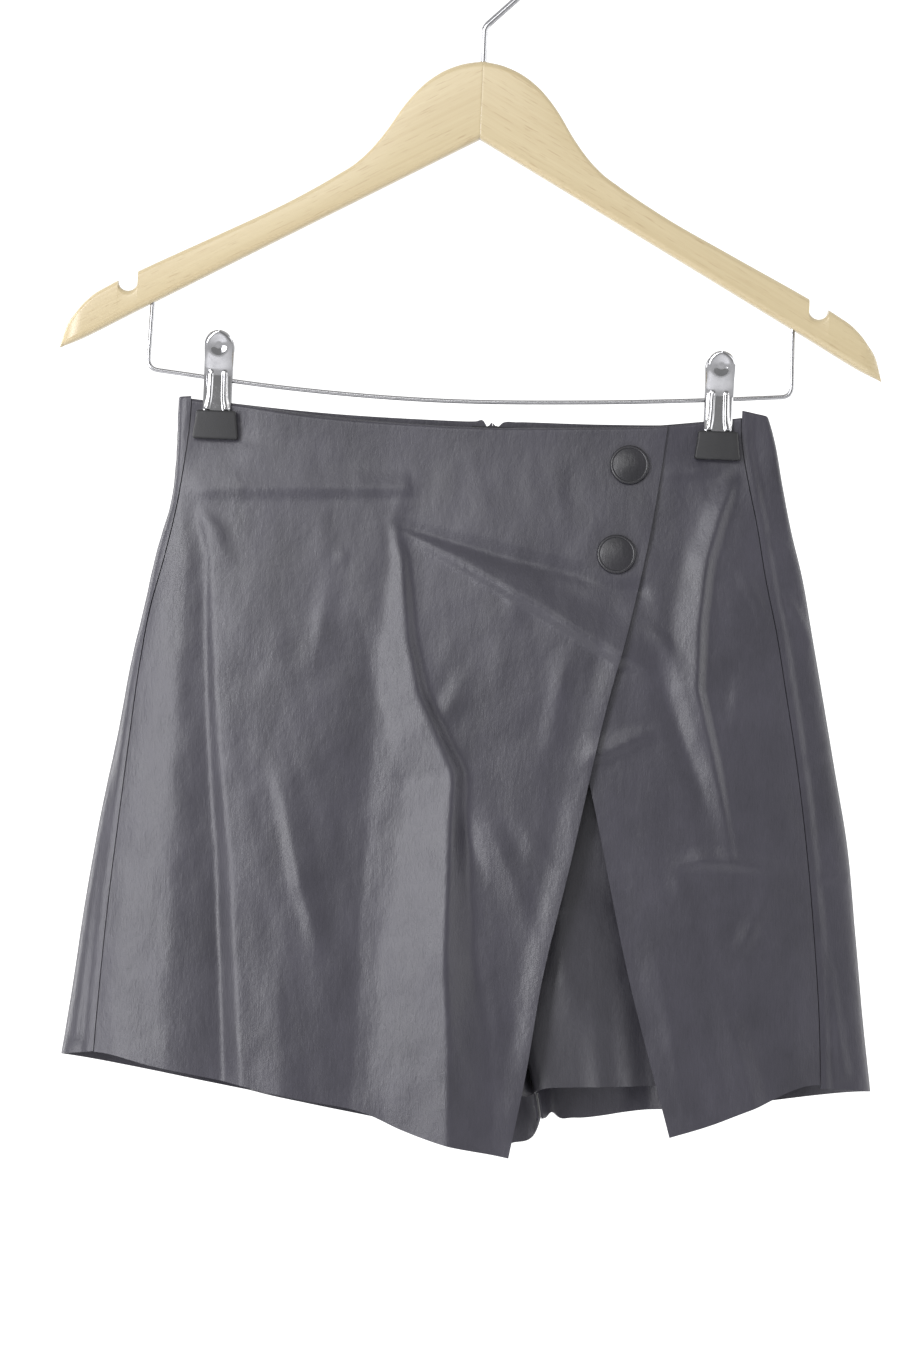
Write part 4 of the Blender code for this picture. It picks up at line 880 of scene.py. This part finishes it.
def coil_path(side):
    """One row of coil: a flattened helix, side * COIL_REACH * (1 + 1.4 cos) / 2 across, so that the
    rows mesh, and COIL_HEIGHT * sin / 2 in depth. It drops COIL_PITCH a turn, just inside the tape,
    and stops 2 mm above the tape's end."""
    turns = (COIL_TOP_Z - 2 - ZIP_BOTTOM_Z) / COIL_PITCH
    angle = np.linspace(0, 2 * math.pi * turns, int(turns * 9)) + (math.pi / 2) * side
    z = COIL_TOP_Z - COIL_PITCH * angle / (2 * math.pi)
    x = centre_x(z) + side * (COIL_REACH * (1 + 1.4 * np.cos(angle)) / 2)
    tape_y = core_depth(x, z, "back_depth") + zip_level(x, 0, z)
    y = tape_y - COIL_HEIGHT / 2 - COIL_WIRE / 2 + COIL_HEIGHT / 2 * np.sin(angle)
    return np.stack([x, y, z])


def woven_tape(shade):
    """Fine ribs along the tape, and a little dust."""
    ribs = shade.noise(2400, (1, 1, 0.08), detail=1)
    tone = (0.7 * ribs + 0.3 * shade.noise(160)).clamped(0.35, 0.65)
    return {"Base Color": tone.blend((0.010, 0.010, 0.012), (0.026, 0.026, 0.030)),
            "Normal": ribs.bump(0.0002, 0.7)}


def painted_metal(shade):
    """Black paint, a little thinner where it is handled."""
    wear = shade.noise(900, detail=4).clamped(0.52, 0.72)
    return {"Base Color": wear.blend((0.018, 0.018, 0.019), (0.060, 0.058, 0.055)),
            "Roughness": 0.30 + 0.25 * wear}


tape_finish = new_finish("zip_tape", {"Roughness": 0.85, "Sheen Weight": 0.2}, woven_tape)
coil_finish = new_finish("zip_coil", {"Roughness": 0.42, "Base Color": (0.014, 0.014, 0.016, 1)},
                         lambda shade: {"Normal": shade.noise(1800).bump(0.0001, 0.5)})
zip_metal = new_finish("painted_zip_metal", {"Metallic": 0.6}, painted_metal)

tape = add_wall("zip_tape_woven", zip_place, zip_level, np.linspace(0, 1, 20), np.linspace(0, 1, 110), 1,
                tape_finish, ZIP_TAPE_THICKNESS)
sew_on(tape, "zip_tape", "zip_tape", (0.022, 0.178), 0.0039, ["back_left", "back_right"])
coil_rows = carried(np.stack([coil_path(-1), coil_path(1)], axis=1), *round_profile(COIL_WIRE / 2, 6),
                    facing=(0, 0, 1))
coil = add_rings("zip_coil", coil_rows, coil_finish)
fix_on(coil, "zip_tape")
for node in ("zip_slider", "zip_pull"):
    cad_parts[node].data.materials.clear()
    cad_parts[node].data.materials.append(zip_metal)

# ------------------------------------------------------------------ seams
# Black polyester thread, one lockstitch after another, lies deep in the side seams and in the centre
# back seam below the zip. It shows only from close by.
THREAD = 0.34  # thickness
STITCH = 2.6
STITCH_PITCH = 3.1
SIDE_STITCHES_END_Z = -604.0


def stitches_down(top, bottom, x_of, y_of):
    """Stitches down a seam: each a short path from the height z that bulges 0.16 mm outwards as
    sin(pi t). x_of(z) and y_of(z) give the seam, and y_of's sign says which way is out."""
    start = np.arange(top, bottom, -STITCH_PITCH)
    t = np.linspace(0, 1, 5)
    z = start[:, None] - STITCH * t
    y = y_of(z)
    return np.stack([x_of(z), y + np.sign(y) * 0.16 * np.sin(math.pi * t), z])


def side_stitches(column):
    """Stitches down a side seam, between the skirt panel and the back."""
    def seam_x(z):
        return at_height(SECTIONS, column, z)

    def seam_y(z):
        return -core_depth(seam_x(z), z, "front_depth") - 0.8 * WALL - GAP - WALL / 2
    return stitches_down(WAIST_Z, SIDE_STITCHES_END_Z, seam_x, seam_y)


def centre_y(z):
    """The depth of the centre back seam's thread, about halfway through the wall."""
    return core_depth(centre_x(z), z, "back_depth") + 0.55 * WALL


seam_paths = np.concatenate([side_stitches("left_seam"), side_stitches("right_seam"),
                             stitches_down(ZIP_BOTTOM_Z, CROTCH_Z + CROTCH_RISE, centre_x, centre_y)], axis=1)
thread_finish = new_finish("seam_thread", {"Roughness": 0.6, "Base Color": (0.020, 0.020, 0.023, 1)},
                           lambda shade: {"Normal": shade.noise(3000).bump(0.0001, 0.6)})
thread = add_rings("seam_thread", carried(seam_paths, *round_profile(THREAD / 2, 5)), thread_finish)
fix_on(thread, "coated_cloth")

# ------------------------------------------------------------------ hanger: the two wooden arms
# Beech, sawn from board along its grain and rounded over at the edges, clear varnished. The two arms
# meet in a glued mitre under the hook, and each has a notch for straps near its tip.
ARM_THICKNESS = 12.0
ARM_ROUNDING = 3.4
MITRE_X = -1.6
ARM_SPAN = 221.0
ARM_TIP_START = 215.0
ARM_LOWER = ((0, -110.3), (60, -143.5), (120, -176.6), (180, -209.8), (212, -227.4), (221, -231.6))
ARM_UPPER = ((0, -68.6), (12, -71), (22, -75.4), (33, -84), (42, -95), (50, -107.5), (58, -118),
             (66, -126), (76, -133), (97, -146), (139, -168), (177, -187.3), (196, -197.4),
             (205, -203.4), (213, -212.4), (218.5, -222), (221, -231.4))
NOTCH = (185.7, -194.4, 5.3)  # from the mitre, height and radius
ARM_SLOPE = math.atan2(117, 212)  # the grain runs along the arm's straight underside


def rounded_rectangles(half_across, half_up, rounding, steps):
    """The two coordinates of rectangles, one a row: flat sides joined by four quarter rounds."""
    quarter = np.repeat(np.arange(4), steps)
    turn = quarter * math.pi / 2 + np.tile(np.linspace(0, math.pi / 2, steps), 4)
    out_across = np.where((quarter == 0) | (quarter == 3), 1, -1)
    out_up = np.where(quarter < 2, 1, -1)
    return ((half_across - rounding)[:, None] * out_across + rounding[:, None] * np.cos(turn),
            (half_up - rounding)[:, None] * out_up + rounding[:, None] * np.sin(turn))


def arm_points(side):
    """Rounded rectangles from the mitre to the tip. The upper edge is the lower of its curve and
    the notch's circle."""
    left_wall, right_wall = NOTCH[0] - NOTCH[2], NOTCH[0] + NOTCH[2]
    distance = np.concatenate([[0.02, 0.2], np.linspace(1, left_wall - 0.02, 130),
                               NOTCH[0] - NOTCH[2] * np.cos(np.linspace(0.01, math.pi - 0.01, 36)),
                               np.linspace(right_wall + 0.02, ARM_TIP_START, 24),
                               ARM_TIP_START + (ARM_SPAN - ARM_TIP_START)
                               * np.sin(np.linspace(0.1, math.pi / 2, 16))])
    upper, lower = height_over(ARM_UPPER, distance), height_over(ARM_LOWER, distance)
    in_notch = np.clip(NOTCH[2] ** 2 - (distance - NOTCH[0]) ** 2, 0, None)
    upper = np.where(in_notch > 0, np.minimum(upper, NOTCH[1] - np.sqrt(in_notch)), upper)
    to_tip = np.clip((distance - ARM_SPAN + ARM_THICKNESS) / ARM_THICKNESS, 0, 1)
    eased = np.where(distance < 0.1, 0.06, 0.0)  # the mitre's arris is broken
    half_y = ARM_THICKNESS / 2 * np.sqrt(1.06 - to_tip**2) - eased
    half_z = np.maximum((upper - lower) / 2, 0.1) - eased
    rounding = np.minimum(np.minimum(0.96 * half_y, 0.96 * half_z), ARM_ROUNDING)
    y, z = rounded_rectangles(half_y, half_z, rounding, 9)
    x = np.broadcast_to((MITRE_X + side * distance)[:, None], y.shape)
    return np.stack([x, y, z + ((upper + lower) / 2)[:, None]])[:, None]


def varnished_wood(side):
    """Straight grain along the arm: broad pale and warm bands, fine fibres and short dark pores."""
    def wires(shade):
        turn = (0, -side * ARM_SLOPE, 0)
        bands = shade.noise(70, (0.05, 1, 1), detail=3, turn=turn, shift=side)
        fibres = shade.noise(900, (0.015, 1, 1), detail=3, turn=turn)
        pores = shade.noise(1500, (0.06, 1, 1), detail=1, turn=turn).clamped(0.64, 0.74)
        tone = (0.62 * bands + 0.38 * fibres).clamped(0.24, 0.76)
        pale = tone.blend((0.345, 0.272, 0.152), (0.425, 0.358, 0.222))
        return {"Base Color": (0.35 * pores).blend(pale, (0.20, 0.12, 0.05)),
                "Roughness": 0.42 - 0.10 * fibres,
                "Normal": (0.6 * fibres - 0.4 * pores).bump(0.00012, 0.5)}
    return wires


for side, word in ((-1, "left"), (1, "right")):
    wood = new_finish(f"varnished_beech_{word}", {"Coat Weight": 0.25, "Coat Roughness": 0.22},
                      varnished_wood(side))
    arm = add_rings(f"wooden_arm_{word}", arm_points(side), wood, sharp=55)
    fix_on(arm, "varnished_beech", f"hanger_arm_{word}")

# ------------------------------------------------------------------ hanger: the hook and the bar
# Bright nickelled steel wire. The hook's shank goes down into the wood, and the thin bar under the
# arms, which carries the clips, runs up into a hole in each arm.
HOOK_WIRE = 3.6
HOOK_RADIUS = 21.0  # of the wire's centre line
HOOK_LEAN = math.radians(44)  # the wire leaves the shank at this angle
HOOK_SWEEP = math.radians(250)
SHANK_BOTTOM_Z = -92.0
SHANK_BEND = 7.0
BAR_WIRE = 2.4
BAR_DEPTH_IN_WOOD = 7.0
BAR_CORNER = 6.0
BAR_ROUTE = ((-173.6, -206), (-175, -241), (-100, -248.2), (-22, -251.5), (60, -249.3),
             (122, -245.6), (171.8, -241.6), (170.6, -206))


def hook_path():
    """The shank, an arc of SHANK_BEND, a straight lean and the round of HOOK_RADIUS about the rod."""
    turn = np.linspace(math.pi, math.pi / 2 + HOOK_LEAN, 12)
    bend = np.stack([MITRE_X + SHANK_BEND + SHANK_BEND * np.cos(turn), SHANK_BEND * np.sin(turn)])
    sweep = HOOK_LEAN - math.pi / 2 + np.linspace(0, HOOK_SWEEP, 90)
    centre_z = HOOK_WIRE / 2 - HOOK_RADIUS
    hoop = np.stack([HOOK_RADIUS * np.cos(sweep), centre_z + HOOK_RADIUS * np.sin(sweep)])
    run = (hoop[0, 0] - bend[0, -1]) * math.tan(HOOK_LEAN)
    bend[1] += hoop[1, 0] - run - bend[1, -1]
    x, z = np.concatenate([[[MITRE_X], [SHANK_BOTTOM_Z]], bend, hoop], axis=1)
    return np.stack([x, 0 * x, z])[:, None]


def corner(before, at, after):
    """A round corner: the quadratic curve that leaves each line BAR_CORNER from the corner."""
    before, at, after = np.array(before), np.array(at), np.array(after)
    start = at + BAR_CORNER * (before - at) / np.linalg.norm(before - at)
    end = at + BAR_CORNER * (after - at) / np.linalg.norm(after - at)
    t = np.linspace(0, 1, 14)[:, None]
    return (1 - t) ** 2 * start + 2 * t * (1 - t) * at + t**2 * end


BAR_FIRST, BAR_LAST = corner(*BAR_ROUTE[:3]), corner(*BAR_ROUTE[-3:])
BAR_RUN = (tuple(BAR_FIRST[-1]), *BAR_ROUTE[2:-2], tuple(BAR_LAST[0]))


def bar_path():
    """Up into each arm's underside, round corners, and a slight sag between them."""
    x = np.linspace(BAR_RUN[0][0], BAR_RUN[-1][0], 60)[1:-1]
    ends = np.array([BAR_ROUTE[0], BAR_ROUTE[-1]]) + (0, BAR_DEPTH_IN_WOOD)
    run = np.stack([x, height_over(BAR_RUN, x)], axis=1)
    flat = np.concatenate([ends[:1], BAR_FIRST, run, BAR_LAST, ends[1:]])
    return np.stack([flat[:, 0], 0 * flat[:, 0], flat[:, 1]])[:, None]


def drawn_wire(shade):
    """Faint draw marks and dulled patches in the plating."""
    marks = shade.noise(420, (1, 1, 1), detail=5, roughness=0.7)
    return {"Base Color": marks.blend((0.28, 0.28, 0.29), (0.38, 0.38, 0.39)),
            "Roughness": 0.14 + 0.14 * marks}


steel = new_finish("steel_wire", {"Metallic": 1.0}, drawn_wire)
hook_route = hook_path()
hook_taper = np.ones(hook_route.shape[-1])
hook_taper[-6:] = np.sqrt(1 - np.linspace(0, 0.97, 6) ** 2)  # the wire's end is rounded off
hook_across, hook_away = round_profile(HOOK_WIRE / 2, 20)
hook = add_rings("hook_wire", carried(hook_route, hook_taper[:, None] * hook_across,
                                      hook_taper[:, None] * hook_away), steel)
fix_on(hook, "steel_wire", "hook")
bar = add_rings("bar_wire", carried(bar_path(), *round_profile(BAR_WIRE / 2, 16)), steel)
fix_on(bar, "steel_wire", "trouser_bar")

# ------------------------------------------------------------------ hanger: the clips
# Each clip is two plates of chromed sheet steel, pressed with a thumb dimple and two stiffening ribs,
# on a coiled spring that the bar runs through. Black rubber boots cover the jaws.
Plate = namedtuple("Plate", "z half_width stand_off")
PLATE = (Plate(24.5, 7.0, 12.6), Plate(22.6, 7.0, 12.2), Plate(20, 7.0, 11.6), Plate(16.5, 7.0, 10.6),
         Plate(11, 6.9, 8.4), Plate(5, 7.1, 5.4), Plate(0, 7.3, 4.3), Plate(-6, 7.5, 4.3),
         Plate(-12, 8.2, 4.5), Plate(-16.6, 10.0, 4.7), Plate(-20, 10.2, 4.7), Plate(-26, 10.2, 4.7))
PLATE_THICKNESS = 1.0
PLATE_CURL = 1.1  # the plate's long edges are bent in this far
PLATE_ROUND = (17.5, 7.0)  # height and radius of its round top
RIB_X = 0.5  # the two pressed ribs, as a share of the half width
RIB_HEIGHT = 0.9
DIMPLE = (17.6, 6.2, 1.3)  # height, radius and depth
BOOT_TAPER = 1.6  # the boot is this much narrower at its top, on each side
BOOT_ROUNDING = 1.2
SPRING_RADIUS = 3.3
SPRING_WIRE = 1.1
SPRING_LENGTH = 9.0
SPRING_TURNS = 7


def plate_place(clip, towards):
    """A plate from its table, with a round top, half = sqrt(radius^2 - rise^2), and its edges bent
    in by PLATE_CURL * across^4."""
    heights = [-row.z for row in PLATE]
    pivot_z = float(height_over(BAR_RUN, clip.x))

    def place(u, v):
        down = -PLATE[0].z + (PLATE[0].z - PLATE[-1].z) * v
        half = through(heights, [row.half_width for row in PLATE], down)
        rise = np.clip(-down - PLATE_ROUND[0], 0, 0.9995 * PLATE_ROUND[1])
        half = np.minimum(half, np.sqrt(PLATE_ROUND[1] ** 2 - rise**2))
        stand = through(heights, [row.stand_off for row in PLATE], down)
        across = 2 * u - 1
        y = towards * (stand - PLATE_CURL * across**4 * smoothstep(19, 12, down))
        return np.stack([clip.x + half * across, y, pivot_z - down])
    return place


def pressings(clip):
    """Two ribs stand out between the pivot and the jaw, and the thumb dimple goes in at the top."""
    def level(x, y, z):
        down = float(height_over(BAR_RUN, clip.x)) - z
        half = through([-row.z for row in PLATE], [row.half_width for row in PLATE], down)
        off_rib = np.abs(np.abs(x - clip.x) / half - RIB_X)
        along = smoothstep(-5, -2, down) * smoothstep(18, 16, down)
        ribs = RIB_HEIGHT * smoothstep(0.22, 0.04, off_rib) * along
        off_dimple = np.hypot(x - clip.x, down + DIMPLE[0])
        return ribs - DIMPLE[2] * smoothstep(DIMPLE[1], 0.25 * DIMPLE[1], off_dimple)
    return level


def boot_points(node):
    """A tapered block in its node's box: rounded rectangles from the bottom to the top, drawn in at
    both ends by a quarter round."""
    low, high = (np.array(corner_point) / MM for corner_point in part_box(node))
    middle, half = (low + high) / 2, (high - low) / 2
    v = np.sin(np.linspace(-math.pi / 2, math.pi / 2, 30))
    inset = BOOT_ROUNDING - np.sqrt(np.clip(BOOT_ROUNDING**2 - np.clip(
        np.abs(v) * half[2] - half[2] + BOOT_ROUNDING, 0, BOOT_ROUNDING) ** 2, 0, None))
    half_x = half[0] - BOOT_TAPER * smoothstep(-1, 1, v) - inset
    half_y = half[1] - inset
    rounding = np.minimum(BOOT_ROUNDING, 0.9 * half_y)
    x, y = rounded_rectangles(half_x, half_y, rounding, 7)
    z = np.broadcast_to((half[2] * v)[:, None], x.shape)
    return (np.stack([x, y, z]) + middle[:, None, None])[:, None]


def spring_path(clip):
    """A helix of SPRING_TURNS turns about the bar."""
    t = np.linspace(0, 1, SPRING_TURNS * 20)
    turn = 2 * math.pi * SPRING_TURNS * t
    reach = SPRING_LENGTH / 2 - SPRING_WIRE / 2
    return np.stack([clip.x + reach * (2 * t - 1), SPRING_RADIUS * np.cos(turn),
                     float(height_over(BAR_RUN, clip.x)) + SPRING_RADIUS * np.sin(turn)])[:, None]


def polished_chrome(shade):
    """Chrome with faint handling haze."""
    haze = shade.noise(300, detail=5, roughness=0.65).clamped(0.42, 0.75)
    return {"Base Color": haze.blend((0.39, 0.39, 0.40), (0.33, 0.33, 0.34)),
            "Roughness": 0.06 + 0.12 * haze}


def moulded_rubber(shade):
    """Fine spark-eroded texture, with dust in it."""
    grit = shade.noise(2200, detail=2)
    dust = shade.noise(240, detail=5, roughness=0.7).clamped(0.5, 0.8)
    return {"Base Color": (0.5 * dust).blend((0.006, 0.006, 0.007), (0.026, 0.026, 0.027)),
            "Roughness": 0.55 + 0.2 * dust,
            "Normal": grit.bump(0.00012, 0.7)}


chrome = new_finish("chrome", {"Metallic": 1.0}, polished_chrome)
rubber = new_finish("black_rubber", {}, moulded_rubber)
for clip in CLIPS:
    for towards, word in ((-1, "front"), (1, "rear")):
        name = f"clip_{clip.side}_{word}"
        down_at = np.concatenate([[0, 0.0015, 0.005, 0.011, 0.02, 0.032], np.linspace(0.046, 1, 84)])
        plate = add_wall(f"{name}_pressing", plate_place(clip, towards), pressings(clip),
                         np.linspace(0, 1, 42), down_at, towards, chrome, PLATE_THICKNESS)
        fix_on(plate, "chrome", f"{name}_plate")
        boot = add_rings(f"{name}_rubber", boot_points(f"{name}_boot"), rubber)
        fix_on(boot, "black_rubber", f"{name}_boot")
    spring_rings = carried(spring_path(clip), *round_profile(SPRING_WIRE / 2, 8), facing=(1, 0, 0))
    spring = add_rings(f"clip_{clip.side}_coil", spring_rings, steel)
    fix_on(spring, "steel_wire", f"clip_{clip.side}_spring")

# ------------------------------------------------------------------ floor and light
# A pale studio: a white room all round, a tall soft light from the left, a weaker one above the
# camera and one from the right, and a narrow light behind each side, above a plain pale floor.
FLOOR_Z = -1.75
FLOOR_REACH = 5.0
LIGHT_AIM = (0, 0, -0.42)  # every light points here, a little above the garment's middle
FRONT_GLOW = 0.45  # of the room in front of the garment, where the camera stands
BACK_GLOW = 1.35

floor_mesh = bpy.data.meshes.new("floor")
floor_corners = [(x * FLOOR_REACH, y * FLOOR_REACH, FLOOR_Z) for x, y in ((-1, -1), (1, -1), (1, 1), (-1, 1))]
floor_mesh.from_pydata(floor_corners, [], [(0, 1, 2, 3)])
floor_mesh.materials.append(new_finish("pale_floor", {"Base Color": (0.88, 0.88, 0.89, 1), "Roughness": 0.9},
                                       lambda shade: {}))
floor = bpy.data.objects.new("floor", floor_mesh)
bpy.context.scene.collection.objects.link(floor)

room = bpy.data.worlds.new("white_room")
room.use_nodes = True
direction = Shade(room.node_tree).node("ShaderNodeTexCoord", output=0)
depth = direction.node("ShaderNodeSeparateXYZ", {}, {"Vector": direction}, output=1)
glow = depth.clamped(-0.9, 0.45)
backdrop = room.node_tree.nodes["Background"]
backdrop.inputs["Color"].default_value = (1.0, 1.0, 1.0, 1)
room.node_tree.links.new((FRONT_GLOW + (BACK_GLOW - FRONT_GLOW) * glow).socket, backdrop.inputs["Strength"])
bpy.context.scene.world = room
bpy.context.scene.view_settings.view_transform = "Standard"


def add_softbox(name, place, width, height, watts, colour=(1, 1, 1)):
    """A rectangular area light at place, turned towards LIGHT_AIM."""
    light = bpy.data.lights.new(name, "AREA")
    light.shape = "RECTANGLE"
    light.size = width
    light.size_y = height
    light.energy = watts
    light.color = colour
    lamp = bpy.data.objects.new(name, light)
    lamp.location = place
    lamp.rotation_euler = (Vector(LIGHT_AIM) - Vector(place)).to_track_quat("-Z", "Y").to_euler()
    bpy.context.scene.collection.objects.link(lamp)


add_softbox("left_softbox", (-1.25, -1.75, -0.1), 0.6, 1.9, 50, (0.97, 0.97, 1))
add_softbox("top_softbox", (-0.3, -2.0, 0.45), 1.0, 0.5, 9)
add_softbox("left_edge_light", (-1.5, 0.25, -0.35), 0.5, 1.6, 22)
add_softbox("right_edge_light", (1.5, 0.2, -0.35), 0.5, 1.6, 10)
add_softbox("right_softbox", (1.7, -0.8, 0.0), 0.6, 1.2, 5)
